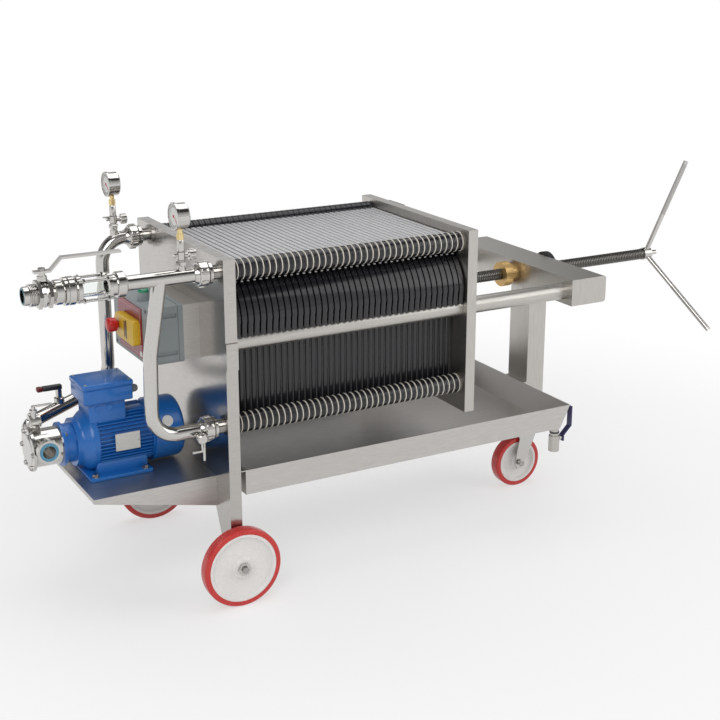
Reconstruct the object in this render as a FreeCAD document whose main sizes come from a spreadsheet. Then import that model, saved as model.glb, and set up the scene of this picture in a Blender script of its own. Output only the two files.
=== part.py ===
"""Plate filter press on wheels, as a parametric FreeCAD document.

A fixed head plate stands on two legs. Two round tie bars run from it to a crossbeam, and carry a pack of
square filter plates with sheets between them. A screw in the crossbeam's bronze nut pushes a movable plate
along the bars against the pack. A shelf on the head carries a motor and pump; pipes join the head's ports
to an inlet valve with a sight glass and to the pump, and a switch box hangs on the head.

X runs along the screw (pump end -X, handle end +X), Y across, Z up. The origin is on the floor, at the middle
of the whole press. All sizes are in millimetres and are kept in the sheet "Sizes".
"""
import FreeCAD
import Part
import Sketcher
import math
import os
import re

from FreeCAD import Placement
from FreeCAD import Rotation
from FreeCAD import Vector

SIZES = {
    # fixed head: one plate whose lower part is cut into two legs
    "head_x": -526.65,
    "head_thickness": 30,
    "head_width": 550,
    "head_top": 853,
    "arch_top": 222,
    "arch_width": 372,
    "leg_inner_spacing": 486,
    "leg_knee": 100,
    "leg_bottom": 72,
    "anchor_bottom": 591,
    "anchor_height": 65,
    "anchor_proud": 5,
    # tie bars and crossbeam
    "bar_diameter": 44,
    "bar_spacing": 464,
    "bar_height": 646,
    "bar_length": 963,
    "beam_depth": 112,
    "beam_height": 71,
    "beam_length": 556,
    "beam_below_bar": 32,
    "beam_edge": 8,
    # rear post and swivel caster
    "post_depth": 58,
    "post_width": 90,
    "post_inset": 35,
    "post_bracket_height": 12,
    "swivel_plate_side": 92,
    "swivel_plate_thickness": 8,
    "swivel_race_diameter": 64,
    "swivel_race_height": 14,
    "swivel_pin_diameter": 16,
    "swivel_pin_length": 10,
    "caster_trail": 27,
    "caster_diameter": 150,
    "caster_width": 32,
    "fork_side_gap": 6,
    "fork_crown_gap": 9,
    "fork_thickness": 4,
    "fork_crown_width": 56,
    "fork_foot_width": 34,
    "caster_axle_diameter": 12,
    # front wheels
    "wheel_diameter": 200,
    "wheel_width": 30,
    "wheel_gap": 5,
    "tread_depth": 13,
    "tread_corner": 4,
    "rim_depth": 12,
    "web_thickness": 12,
    "boss_diameter": 52,
    "boss_proud": 2,
    "axle_diameter": 20,
    "axle_nut_diameter": 34,
    "axle_nut_length": 6,
    "running_clearance": 0.05,
    "end_play": 0.3,
    # plate pack
    "plate_count": 39,
    "plate_side": 400,
    "plate_thickness": 12.4,
    "sheet_thickness": 3.8,
    "sheet_inset": 3,
    "pack_middle": 629,
    "eyelet_spacing": 454,
    "eyelet_top": 817,
    "eyelet_bottom": 441,
    "eyelet_diameter": 49.4,
    "neck_height": 20,
    "neck_inset": 4,
    "lug_reach": 262,
    "lug_top": 784,
    "lug_bottom": 661,
    "lug_waist": 214,
    "bar_slack": 0.3,
    # movable plate, screw and handle
    "pack_slack": 0.3,
    "movable_thickness": 28,
    "movable_width": 544,
    "movable_bottom": 373,
    "movable_top": 851,
    "bar_clearance": 0.5,
    "screw_diameter": 31,
    "screw_length": 744,
    "screw_tip_diameter": 22,
    "screw_tip_length": 20,
    "socket_diameter": 84,
    "socket_length": 26,
    "hub_diameter": 36,
    "hub_length": 26,
    "hub_end_diameter": 13,
    "hub_end_length": 26,
    "arm_length": 295,
    "arm_diameter": 14,
    "arm_count": 3,
    "arm_lean_angle": 15,
    "arm_phase_angle": 103,
    "nut_collar_diameter": 68,
    "nut_collar_length": 25,
    "nut_neck_diameter": 52,
    "nut_neck_length": 13,
    "nut_thread_clearance": 0.1,
    "nut_flange_diameter": 94,
    "nut_flange_thickness": 14,
    # drip tray
    "tray_gap": 18,
    "tray_end_gap": 11,
    "tray_width": 524,
    "tray_top": 330,
    "tray_depth": 63,
    "tray_wall": 2.5,
    "tray_slope": 30,
    "drain_inset": 37,
    "drain_y": -246,
    "drain_diameter": 24,
    "drain_length": 68,
    "drain_valve_diameter": 30,
    "drain_valve_length": 44,
    "drain_stem_length": 8,
    "drain_lever_length": 56,
    "drain_lever_bend": 24,
    "drain_lever_width": 16,
    "drain_grip_thickness": 8,
    # pump shelf
    "shelf_length": 308,
    "shelf_width": 388,
    "shelf_top": 302,
    "shelf_depth": 78,
    "shelf_lip": 11,
    "shelf_sheet": 4,
    # pipework, measured from the head's outer face
    "pipe_diameter": 34,
    "port_spacing": 454,
    "stub_length": 12,
    "union_length": 42,
    "union_diameter": 64,
    "line_run": 161,
    "tee_distance": 135,
    "kink_distance": 165,
    "kink_height": 640,
    "down_distance": 171,
    "bend_radius": 62,
    "far_bend_distance": 116,
    "far_bottom": 440,
    "feed_lead_in": 55,
    "sight_union_length": 45,
    "sight_union_diameter": 60,
    "sight_length": 60,
    "sight_glass_diameter": 38,
    "sight_rod_diameter": 8,
    "sight_rod_spacing": 44,
    "sight_flange_diameter": 62,
    "sight_flange_thickness": 8,
    "clamp_length": 30,
    "clamp_diameter": 64,
    "clamp_groove": 2,
    "valve_neck_length": 5,
    "valve_length": 33,
    "valve_diameter": 70,
    "valve_stem_diameter": 22,
    "valve_stem_height": 12,
    "lever_length": 178,
    "lever_width": 18,
    "lever_thickness": 5,
    "lever_rise": 26,
    "lever_gap": 1,
    "hose_thread_diameter": 50,
    "hose_thread_length": 17,
    "hose_bore": 30,
    "hose_end_diameter": 42,
    "hose_end_length": 12,
    # gauges on their sampling cocks
    "gauge_distance": 81,
    "gauge_diameter": 63,
    "gauge_depth": 32,
    "gauge_rise": 139,
    "gauge_recess": 3,
    "gauge_rim": 3,
    "gauge_saddle": 2,
    "boss_rise": 4,
    "stem_diameter": 12,
    "stem_nut_diameter": 18,
    "stem_length": 22,
    "cock_diameter": 20,
    "cock_side_diameter": 26,
    "cock_side_length": 34,
    "cock_side_rise": 27,
    # switch box
    "box_front_distance": 132,
    "box_depth": 90,
    "box_bracket_width": 222,
    "box_bracket_height": 136,
    "box_width": 230,
    "box_bottom": 580,
    "box_height": 142,
    "box_middle": -10,
    "box_edge": 6,
    "lid_depth": 76,
    "lid_groove": 2,
    "slot_length": 60,
    "slot_height": 10,
    "slot_depth": 4,
    "switch_plate_width": 160,
    "switch_plate_height": 124,
    "switch_plate_thickness": 2,
    "cover_width": 136,
    "cover_height": 62,
    "cover_depth": 18,
    "cover_corner": 8,
    "cover_slot_width": 9,
    "cover_slot_offset": 26,
    "cover_offset": -2,
    "stop_offset": 36,
    "stop_diameter": 36,
    "stop_length": 24,
    "stop_gap": 1,
    "stop_travel": 4,
    "stop_stem_diameter": 18,
    "lamp_inset": 24,
    "lamp_offset": 32,
    "lamp_diameter": 28,
    "lamp_height": 9,
    "lamp_boss_diameter": 28,
    "lamp_boss_height": 20,
    # motor and pump, on one axis
    "motor_y": -11,
    "motor_axis": 384,
    "fan_end_distance": 30,
    "fan_cover_length": 78,
    "fan_cover_diameter": 158,
    "motor_length": 148,
    "motor_diameter": 132,
    "fin_count": 30,
    "fin_height": 9,
    "fin_thickness": 3,
    "foot_span": 168,
    "foot_length": 158,
    "foot_overhang": 25,
    "foot_thickness": 10,
    "foot_rib": 26,
    "bell_length": 34,
    "bell_diameter": 150,
    "bell_end_diameter": 118,
    "lantern_length": 40,
    "lantern_diameter": 96,
    "lantern_flange": 8,
    "terminal_length": 122,
    "terminal_width": 104,
    "terminal_height": 50,
    "terminal_lid": 14,
    "terminal_neck": 38,
    "terminal_y": -70,
    "terminal_overhang": 22,
    "pump_length": 66,
    "pump_diameter": 92,
    "pump_cover_diameter": 108,
    "pump_cover_thickness": 10,
    "pump_port_diameter": 44,
    "pump_port_ring": 56,
    "pump_port_ring_length": 14,
    "pump_port_bore": 31,
    "pump_port_reach": 76,
    "pump_port_rise": 13,
    "pump_port_distance": 374,
    "pump_bore_depth": 60,
    "relief_diameter": 44,
    "relief_length": 42,
    "relief_rise": 68,
}

doc = FreeCAD.newDocument("filter_press")
sheet = doc.addObject("Spreadsheet::Sheet", "Sizes")
for row, (alias, value) in enumerate(SIZES.items(), start=1):
    sheet.set("A%d" % row, alias)
    sheet.set("B%d" % row, str(value))
    sheet.setAlias("B%d" % row, alias)
doc.recompute()

NODES = []


def size(alias):
    """The value of one cell of the sheet."""
    return float(sheet.get(alias))


def formula(text):
    """An expression in which each of the sheet's names points at its cell."""
    return re.sub(r"[a-z][a-z_]+", lambda word: "Sizes." + word.group() if word.group() in SIZES else word.group(),
                  text)


def bind(thing, **formulas):
    """Bind properties of an object to formulas over the sheet."""
    for name, text in formulas.items():
        thing.setExpression(name, formula(text))
    return thing


def put(thing, x="0", y="0", z="0", turn=None):
    """Place an object, its corner or base centre at x, y, z, turned first."""
    if turn is not None:
        thing.Placement = Placement(Vector(0, 0, 0), turn)
    thing.setExpression("Placement.Base.x", formula(x))
    thing.setExpression("Placement.Base.y", formula(y))
    thing.setExpression("Placement.Base.z", formula(z))
    return thing


def keep(thing, label):
    """Name an object as one of the press's own pieces."""
    thing.Label = label
    NODES.append(thing)
    return thing


def block(length, width, height, x, y, z):
    """A box with its lowest corner at x, y, z."""
    box = doc.addObject("Part::Box", "Block")
    bind(box, Length=length, Width=width, Height=height)
    return put(box, x, y, z)


ALONG = {
    "+X": Rotation(Vector(0, 0, 1), Vector(1, 0, 0)),
    "-X": Rotation(Vector(0, 0, 1), Vector(-1, 0, 0)),
    "+Y": Rotation(Vector(0, 0, 1), Vector(0, 1, 0)),
    "-Y": Rotation(Vector(0, 0, 1), Vector(0, -1, 0)),
    "+Z": Rotation(),
    "-Z": Rotation(Vector(1, 0, 0), 180),
}


def rod(diameter, length, x, y, z, along="+X"):
    """A round bar that starts at x, y, z and runs along an axis."""
    bar = doc.addObject("Part::Cylinder", "Rod")
    bind(bar, Radius="(%s) / 2" % diameter, Height=length)
    return put(bar, x, y, z, ALONG[along])


def cone(first, second, length, x, y, z, along="+X"):
    """A round bar that tapers from the first diameter to the second."""
    taper = doc.addObject("Part::Cone", "Taper")
    bind(taper, Radius1="(%s) / 2" % first, Radius2="(%s) / 2" % second, Height=length)
    return put(taper, x, y, z, ALONG[along])


def hexagon(across, length, x, y, z, along="+X"):
    """A six-sided bar, as a nut."""
    nut = doc.addObject("Part::Prism", "Hexagon")
    bind(nut, Circumradius="(%s) / 2" % across, Height=length)
    nut.Polygon = 6
    return put(nut, x, y, z, ALONG[along])


def fuse(*parts):
    """One solid of several."""
    whole = doc.addObject("Part::MultiFuse", "Fusion")
    whole.Shapes = list(parts)
    whole.Refine = True
    return whole


def group(*parts):
    """Separate solids that share a node."""
    several = doc.addObject("Part::Compound", "Group")
    several.Links = list(parts)
    return several


def cut(base, *tools):
    """A solid with others taken out of it."""
    tool = tools[0] if len(tools) == 1 else fuse(*tools)
    rest = doc.addObject("Part::Cut", "Cut")
    rest.Base = base
    rest.Tool = tool
    rest.Refine = True
    return rest


def body(label):
    """A PartDesign body that is one of the press's pieces."""
    thing = doc.addObject("PartDesign::Body", label)
    return keep(thing, label)


def plane(thing, role):
    """One of the body's own origin planes."""
    return [item for item in thing.Origin.OriginFeatures if item.Role == role][0]


def outline(thing, role, corners, offset="0"):
    """A closed sketch of straight edges through corners, each a pair of formulas."""
    sketch = thing.newObject("Sketcher::SketchObject", "Outline")
    sketch.AttachmentSupport = [(plane(thing, role), "")]
    sketch.MapMode = "FlatFace"
    sketch.setExpression("AttachmentOffset.Base.z", formula(offset))
    probe = [Vector(worth(u), worth(v), 0) for u, v in corners]
    count = len(corners)
    for index in range(count):
        sketch.addGeometry(Part.LineSegment(probe[index], probe[(index + 1) % count]))
    for index in range(count):
        sketch.addConstraint(Sketcher.Constraint("Coincident", index, 2, (index + 1) % count, 1))
    for index, (u, v) in enumerate(corners):
        for kind, text, value in (("DistanceX", u, probe[index].x), ("DistanceY", v, probe[index].y)):
            at = sketch.addConstraint(Sketcher.Constraint(kind, -1, 1, index, 1, value))
            sketch.setExpression("Constraints[%d]" % at, formula(text))
    return sketch


def worth(text):
    """The present value of a formula, worked out in a spare cell of the sheet."""
    sheet.set("D1", "=" + text)
    sheet.recompute()
    return float(sheet.get("D1"))


def pad(thing, sketch, length, symmetric=False):
    """Give a sketch thickness."""
    feature = thing.newObject("PartDesign::Pad", "Pad")
    feature.Profile = sketch
    feature.SideType = "Symmetric" if symmetric else "One side"
    return bind(feature, Length=length)


def pocket(thing, sketch, length, symmetric=False):
    """Cut a sketch out of a body."""
    feature = thing.newObject("PartDesign::Pocket", "Pocket")
    feature.Profile = sketch
    feature.SideType = "Symmetric" if symmetric else "One side"
    return bind(feature, Length=length)


def turned(thing, profile, x, y, z):
    """A solid of revolution about Y through x, y, z; the profile is pairs of place along Y and radius."""
    sketch = outline(thing, "YZ_Plane", profile, x)
    sketch.setExpression("AttachmentOffset.Base.x", formula(y))
    sketch.setExpression("AttachmentOffset.Base.y", formula(z))
    feature = thing.newObject("PartDesign::Revolution", "Revolution")
    feature.Profile = sketch
    feature.ReferenceAxis = (sketch, ["H_Axis"])
    feature.Angle = 360
    return feature


def drilled(thing, diameter, length, x, y, z, along="+X"):
    """A round hole in a body, from x, y, z along an axis."""
    feature = thing.newObject("PartDesign::SubtractiveCylinder", "Drilling")
    bind(feature, Radius="(%s) / 2" % diameter, Height=length)
    return put(feature, x, y, z, ALONG[along])


def added_rod(thing, diameter, length, x, y, z, along="+X"):
    """A round boss on a body, from x, y, z along an axis."""
    feature = thing.newObject("PartDesign::AdditiveCylinder", "Boss")
    bind(feature, Radius="(%s) / 2" % diameter, Height=length)
    return put(feature, x, y, z, ALONG[along])


def added_block(thing, length, width, height, x, y, z):
    """A rectangular boss on a body, with its lowest corner at x, y, z."""
    feature = thing.newObject("PartDesign::AdditiveBox", "Lug")
    bind(feature, Length=length, Width=width, Height=height)
    return put(feature, x, y, z)


def rounded(thing, chosen, radius):
    """Round those edges of a body's last feature that a test on the edge picks."""
    doc.recompute()
    base = thing.Tip
    names = ["Edge%d" % at for at, edge in enumerate(base.Shape.Edges, start=1) if chosen(edge)]
    feature = thing.newObject("PartDesign::Fillet", "Fillet")
    feature.Base = (base, names)
    return bind(feature, Radius=radius)


def runs(edge, axis):
    """Whether a straight edge runs along the X, Y or Z axis (0, 1 or 2)."""
    way = edge.Vertexes[-1].Point - edge.Vertexes[0].Point
    return edge.Length > 1 and abs(abs(way[axis]) - edge.Length) < 0.001


def pipe(points, radius, bends):
    """A round pipe through points, with a tangent arc of its own radius at each inner point."""
    edges = []
    start = points[0]
    for before, corner, after, bend in zip(points, points[1:], points[2:], bends):
        back = (before - corner).normalize()
        onward = (after - corner).normalize()
        half = back.getAngle(onward) / 2
        reach = bend / math.tan(half)
        middle = (back + onward).normalize()
        first = corner + back * reach
        last = corner + onward * reach
        crown = corner + middle * (bend / math.sin(half) - bend)
        edges.append(Part.LineSegment(start, first).toShape())
        edges.append(Part.Arc(first, crown, last).toShape())
        start = last
    edges.append(Part.LineSegment(start, points[-1]).toShape())
    ring = Part.Wire(Part.Circle(points[0], points[1] - points[0], radius).toShape())
    solid = Part.Wire(edges).makePipeShell([ring], True, False)
    thing = doc.addObject("Part::Feature", "Pipe")
    thing.Shape = solid
    return thing


# Places that several pieces share, as formulas over the sheet
HEAD_OUT = "(head_x - head_thickness)"
BAR_Y = "(bar_spacing / 2)"
BEAM_IN = "(head_x + bar_length)"
BEAM_OUT = "(head_x + bar_length + beam_depth)"
POST_X = "(head_x + bar_length + post_inset)"
SWIVEL_X = "(head_x + bar_length + post_inset + post_depth / 2)"
PACK_END = "(head_x + plate_count * plate_thickness + (plate_count + 1) * sheet_thickness)"
MOVABLE_IN = "(%s + pack_slack)" % PACK_END
MOVABLE_OUT = "(%s + movable_thickness)" % MOVABLE_IN
SCREW_START = "(%s + socket_length + end_play)" % MOVABLE_OUT
SCREW_END = "(%s + screw_length)" % SCREW_START
WHEEL_X = "(head_x - head_thickness / 2)"
WHEEL_Z = "(wheel_diameter / 2)"
SHELF_TIP = "(%s - shelf_length)" % HEAD_OUT
TRAY_X = "(head_x + tray_gap)"
TRAY_BOTTOM = "(tray_top - tray_depth)"
PORT_Y = "(port_spacing / 2)"
TRAY_LENGTH = "(bar_length + post_inset - tray_gap - tray_end_gap)"

# Fixed head: a plate with two legs, and a rounded block on each edge that anchors a tie bar
head = body("head_plate")
head_outline = outline(head, "YZ_Plane", [
    ("-head_width / 2", "head_top"),
    ("-head_width / 2", "leg_bottom"),
    ("-leg_inner_spacing / 2", "leg_bottom"),
    ("-leg_inner_spacing / 2", "leg_knee"),
    ("-arch_width / 2", "arch_top"),
    ("arch_width / 2", "arch_top"),
    ("leg_inner_spacing / 2", "leg_knee"),
    ("leg_inner_spacing / 2", "leg_bottom"),
    ("head_width / 2", "leg_bottom"),
    ("head_width / 2", "head_top"),
], HEAD_OUT)
pad(head, head_outline, "head_thickness")
for anchor_y in ("-head_width / 2 - anchor_proud", "head_width / 2"):
    added_block(head, "head_thickness", "anchor_proud", "anchor_height", HEAD_OUT, anchor_y, "anchor_bottom")

# Two tie bars between the head and the crossbeam
keep(group(
    rod("bar_diameter", "bar_length", "head_x", "-" + BAR_Y, "bar_height"),
    rod("bar_diameter", "bar_length", "head_x", BAR_Y, "bar_height"),
), "tie_bars")

# Crossbeam: a closed box with rounded outer edges, bored for the screw's nut
beam = body("crossbeam")
beam_outline = outline(beam, "XZ_Plane", [
    (BEAM_IN, "bar_height - beam_below_bar"),
    (BEAM_OUT, "bar_height - beam_below_bar"),
    (BEAM_OUT, "bar_height - beam_below_bar + beam_height"),
    (BEAM_IN, "bar_height - beam_below_bar + beam_height"),
])
pad(beam, beam_outline, "beam_length", symmetric=True)
rounded(beam, lambda edge: runs(edge, 1) and edge.CenterOfMass.x > worth(BEAM_OUT) - 1, "beam_edge")
drilled(beam, "nut_neck_diameter + 2 * running_clearance", "beam_depth", BEAM_IN, "0", "bar_height")

# Rear post down to the swivel caster, with a small bracket that carries the tray's end
keep(fuse(
    block("post_depth", "post_width", "bar_height - beam_below_bar - %s" % "(caster_diameter + fork_crown_gap + fork_thickness"
          " + end_play + swivel_race_height + swivel_plate_thickness)", POST_X, "-post_width / 2",
          "caster_diameter + fork_crown_gap + fork_thickness + end_play + swivel_race_height"
          " + swivel_plate_thickness"),
    block("tray_end_gap", "post_width", "post_bracket_height",
          "%s + %s" % (TRAY_X, TRAY_LENGTH), "-post_width / 2", "tray_top - post_bracket_height"),
), "rear_post")

# Drip tray: an open pan whose rear end slopes in
tray = body("drip_tray")
tray_outline = outline(tray, "XZ_Plane", [
    (TRAY_X, TRAY_BOTTOM),
    ("%s + %s - tray_slope" % (TRAY_X, TRAY_LENGTH), TRAY_BOTTOM),
    ("%s + %s" % (TRAY_X, TRAY_LENGTH), "tray_top"),
    (TRAY_X, "tray_top"),
])
pad(tray, tray_outline, "tray_width", symmetric=True)
tray_hollow = outline(tray, "XZ_Plane", [
    ("%s + tray_wall" % TRAY_X, "%s + tray_wall" % TRAY_BOTTOM),
    ("%s + %s - tray_slope - tray_wall" % (TRAY_X, TRAY_LENGTH), "%s + tray_wall" % TRAY_BOTTOM),
    ("%s + %s - tray_wall" % (TRAY_X, TRAY_LENGTH), "tray_top"),
    ("%s + tray_wall" % TRAY_X, "tray_top"),
])
pocket(tray, tray_hollow, "tray_width - 2 * tray_wall", symmetric=True)
for hook_y in ("-tray_width / 2", "tray_width / 2 - tray_gap"):
    added_block(tray, "tray_gap", "tray_gap", "tray_wall", "head_x", hook_y, "tray_top - tray_wall")

# Drain: an outlet with a small valve under the tray's rear corner, and its bent lever
DRAIN_X = "(%s + %s - drain_inset)" % (TRAY_X, TRAY_LENGTH)
DRAIN_PIVOT_Z = "(%s - drain_length + drain_valve_length * 0.75)" % TRAY_BOTTOM
DRAIN_PIVOT_X = "(%s + drain_valve_diameter / 2 + drain_stem_length)" % DRAIN_X
keep(fuse(
    rod("drain_diameter", "drain_length - drain_valve_length", DRAIN_X, "drain_y", TRAY_BOTTOM, "-Z"),
    rod("drain_valve_diameter", "drain_valve_length", DRAIN_X, "drain_y",
        "%s - drain_length + drain_valve_length" % TRAY_BOTTOM, "-Z"),
    rod("stem_diameter", "drain_valve_diameter / 2 + drain_stem_length", DRAIN_X, "drain_y", DRAIN_PIVOT_Z, "+X"),
), "drain_valve")
STRAP_X = "(%s + end_play)" % DRAIN_PIVOT_X
GRIP_Z = "(%s + drain_lever_bend + drain_lever_width / 2)" % DRAIN_PIVOT_Z
drain_lever = body("drain_lever")
drain_strap = outline(drain_lever, "XZ_Plane", [
    (STRAP_X, "%s - drain_lever_width / 2" % DRAIN_PIVOT_Z),
    ("%s + lever_thickness" % STRAP_X, "%s - drain_lever_width / 2" % DRAIN_PIVOT_Z),
    ("%s + lever_thickness" % STRAP_X, "%s + drain_lever_width / 2" % DRAIN_PIVOT_Z),
    ("%s + lever_thickness + drain_lever_bend" % STRAP_X, GRIP_Z),
    ("%s + lever_thickness + drain_lever_bend" % STRAP_X, "%s + drain_lever_length" % GRIP_Z),
    ("%s + drain_lever_bend" % STRAP_X, "%s + drain_lever_length" % GRIP_Z),
    ("%s + drain_lever_bend" % STRAP_X, GRIP_Z),
    (STRAP_X, "%s + drain_lever_width / 2" % DRAIN_PIVOT_Z),
], "-drain_y")
pad(drain_lever, drain_strap, "drain_lever_width", symmetric=True)

# Pump shelf: folded sheet, deep at the head and shallow at its tip, open below
shelf = body("pump_shelf")
shelf_outline = outline(shelf, "XZ_Plane", [
    (HEAD_OUT, "shelf_top"),
    (SHELF_TIP, "shelf_top"),
    (SHELF_TIP, "shelf_top - shelf_lip"),
    (HEAD_OUT, "shelf_top - shelf_depth"),
])
pad(shelf, shelf_outline, "shelf_width", symmetric=True)
shelf_hollow = outline(shelf, "XZ_Plane", [
    (HEAD_OUT, "shelf_top - shelf_sheet"),
    ("%s + shelf_sheet" % SHELF_TIP, "shelf_top - shelf_sheet"),
    ("%s + shelf_sheet" % SHELF_TIP, "shelf_top - shelf_depth"),
    (HEAD_OUT, "shelf_top - shelf_depth"),
])
pocket(shelf, shelf_hollow, "shelf_width - 2 * shelf_sheet", symmetric=True)


def wheel(name, side):
    """One front wheel: a white core turned with a bore, and a tread around it."""
    middle = "%s * (head_width / 2 + wheel_gap + wheel_width / 2)" % side
    half = "%s * wheel_width / 2" % side
    rim = "(wheel_diameter / 2 - tread_depth)"
    inner_rim = "(wheel_diameter / 2 - tread_depth - rim_depth)"
    web = "%s * web_thickness / 2" % side
    bore = "(axle_diameter / 2 + running_clearance)"
    core = body("wheel_core_" + name)
    turned(core, [
        ("-" + half, rim),
        (half, rim),
        (half, inner_rim),
        (web, inner_rim),
        (web, "boss_diameter / 2"),
        ("%s + %s * boss_proud" % (half, side), "boss_diameter / 2"),
        ("%s + %s * boss_proud" % (half, side), bore),
        ("-" + half, bore),
        ("-" + half, "boss_diameter / 2"),
        ("-" + web, "boss_diameter / 2"),
        ("-" + web, inner_rim),
        ("-" + half, inner_rim),
    ], WHEEL_X, middle, WHEEL_Z)
    tread = body("wheel_tread_" + name)
    corner = "%s * tread_corner" % side
    turned(tread, [
        ("-" + half, rim),
        ("-" + half, "wheel_diameter / 2 - tread_corner"),
        ("-%s + %s" % (half, corner), "wheel_diameter / 2"),
        ("%s - %s" % (half, corner), "wheel_diameter / 2"),
        (half, "wheel_diameter / 2 - tread_corner"),
        (half, rim),
    ], WHEEL_X, middle, WHEEL_Z)


wheel("near", "(-1)")
wheel("far", "1")


def stub_axle(side, along):
    """A stub axle out of a leg, with the nut that holds the wheel."""
    reach = "wheel_gap + wheel_width + boss_proud + end_play"
    return fuse(
        rod("axle_diameter", reach, WHEEL_X, "%s * head_width / 2" % side, WHEEL_Z, along),
        hexagon("axle_nut_diameter", "axle_nut_length", WHEEL_X, "%s * (head_width / 2 + %s)" % (side, reach),
                WHEEL_Z, along),
    )


keep(group(stub_axle("(-1)", "-Y"), stub_axle("1", "+Y")), "stub_axles")

# Swivel caster under the rear post
CROWN_BOTTOM = "(caster_diameter + fork_crown_gap)"
CROWN_TOP = "(%s + fork_thickness)" % CROWN_BOTTOM
RACE_BOTTOM = "(%s + end_play)" % CROWN_TOP
HUB_X = "(%s - caster_trail)" % SWIVEL_X
HUB_Z = "(caster_diameter / 2)"
keep(cut(
    fuse(
        block("swivel_plate_side", "swivel_plate_side", "swivel_plate_thickness",
              "%s - swivel_plate_side / 2" % SWIVEL_X, "-swivel_plate_side / 2",
              "%s + swivel_race_height" % RACE_BOTTOM),
        rod("swivel_race_diameter", "swivel_race_height", SWIVEL_X, "0", RACE_BOTTOM, "+Z"),
    ),
    rod("swivel_pin_diameter + 2 * running_clearance", "swivel_pin_length + 2 * end_play", SWIVEL_X, "0",
        RACE_BOTTOM, "+Z"),
), "caster_mount")

fork = body("caster_fork")
CHEEK = "(caster_width / 2 + fork_side_gap)"
fork_outline = outline(fork, "XZ_Plane", [
    ("%s + fork_crown_width / 2" % SWIVEL_X, CROWN_TOP),
    ("%s - fork_crown_width / 2" % SWIVEL_X, CROWN_TOP),
    ("%s - fork_foot_width / 2" % HUB_X, HUB_Z),
    ("%s - fork_foot_width / 4" % HUB_X, "%s - fork_foot_width / 2" % HUB_Z),
    ("%s + fork_foot_width / 4" % HUB_X, "%s - fork_foot_width / 2" % HUB_Z),
    ("%s + fork_foot_width / 2" % HUB_X, HUB_Z),
])
pad(fork, fork_outline, "2 * (%s + fork_thickness)" % CHEEK, symmetric=True)
fork_hollow = outline(fork, "XZ_Plane", [
    ("%s + caster_diameter" % HUB_X, CROWN_BOTTOM),
    ("%s - caster_diameter" % HUB_X, CROWN_BOTTOM),
    ("%s - caster_diameter" % HUB_X, "0"),
    ("%s + caster_diameter" % HUB_X, "0"),
])
pocket(fork, fork_hollow, "2 * %s" % CHEEK, symmetric=True)
added_rod(fork, "swivel_pin_diameter", "swivel_pin_length", SWIVEL_X, "0", CROWN_TOP, "+Z")
added_rod(fork, "caster_axle_diameter", "2 * (%s + fork_thickness + axle_nut_length)" % CHEEK, HUB_X,
          "-%s - fork_thickness - axle_nut_length" % CHEEK, HUB_Z, "+Y")

caster_core = body("caster_core")
CASTER_RIM = "(caster_diameter / 2 - tread_depth)"
CASTER_INNER = "(caster_diameter / 2 - tread_depth - rim_depth)"
CASTER_BORE = "(caster_axle_diameter / 2 + running_clearance)"
turned(caster_core, [
    ("-caster_width / 2", CASTER_RIM),
    ("caster_width / 2", CASTER_RIM),
    ("caster_width / 2", CASTER_INNER),
    ("web_thickness / 2", CASTER_INNER),
    ("web_thickness / 2", "hub_diameter / 2"),
    ("%s - end_play" % CHEEK, "hub_diameter / 2"),
    ("%s - end_play" % CHEEK, CASTER_BORE),
    ("-%s + end_play" % CHEEK, CASTER_BORE),
    ("-%s + end_play" % CHEEK, "hub_diameter / 2"),
    ("-web_thickness / 2", "hub_diameter / 2"),
    ("-web_thickness / 2", CASTER_INNER),
    ("-caster_width / 2", CASTER_INNER),
], HUB_X, "0", HUB_Z)
caster_tread = body("caster_tread")
turned(caster_tread, [
    ("-caster_width / 2", CASTER_RIM),
    ("-caster_width / 2", "caster_diameter / 2 - tread_corner"),
    ("-caster_width / 2 + tread_corner", "caster_diameter / 2"),
    ("caster_width / 2 - tread_corner", "caster_diameter / 2"),
    ("caster_width / 2", "caster_diameter / 2 - tread_corner"),
    ("caster_width / 2", CASTER_RIM),
], HUB_X, "0", HUB_Z)


def slotted(thing, length, width, height, x, y, z):
    """A rectangular hole in a body, with its lowest corner at x, y, z."""
    feature = thing.newObject("PartDesign::SubtractiveBox", "Slot")
    bind(feature, Length=length, Width=width, Height=height)
    return put(feature, x, y, z)


def row(name, shape, step):
    """Copies of a shape along X in one piece, as one feature; each is as far on as the step says."""
    copies = []
    for index in step:
        copy = shape.copy()
        copy.translate(Vector(index, 0, 0))
        copies.append(copy)
    thing = doc.addObject("Part::Feature", name)
    thing.Shape = Part.makeCompound(copies)
    return keep(thing, name)


def lug(side):
    """A plate's hook over one tie bar, still without the bar's own hollow."""
    thing = doc.addObject("PartDesign::Body", "Lug")
    sketch = outline(thing, "YZ_Plane", [
        ("%s * plate_side / 2" % side, "lug_top"),
        ("%s * plate_side / 2" % side, "lug_bottom"),
        ("%s * lug_reach" % side, "lug_bottom"),
        ("%s * lug_reach" % side, "lug_bottom + (lug_top - lug_bottom) * 0.28"),
        ("%s * (lug_reach - (lug_reach - lug_waist) * 0.3)" % side, "lug_bottom + (lug_top - lug_bottom) * 0.52"),
        ("%s * (lug_reach - (lug_reach - lug_waist) * 0.8)" % side, "lug_bottom + (lug_top - lug_bottom) * 0.74"),
        ("%s * lug_waist" % side, "lug_top"),
    ], "head_x + sheet_thickness")
    pad(thing, sketch, "plate_thickness")
    return thing


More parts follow.
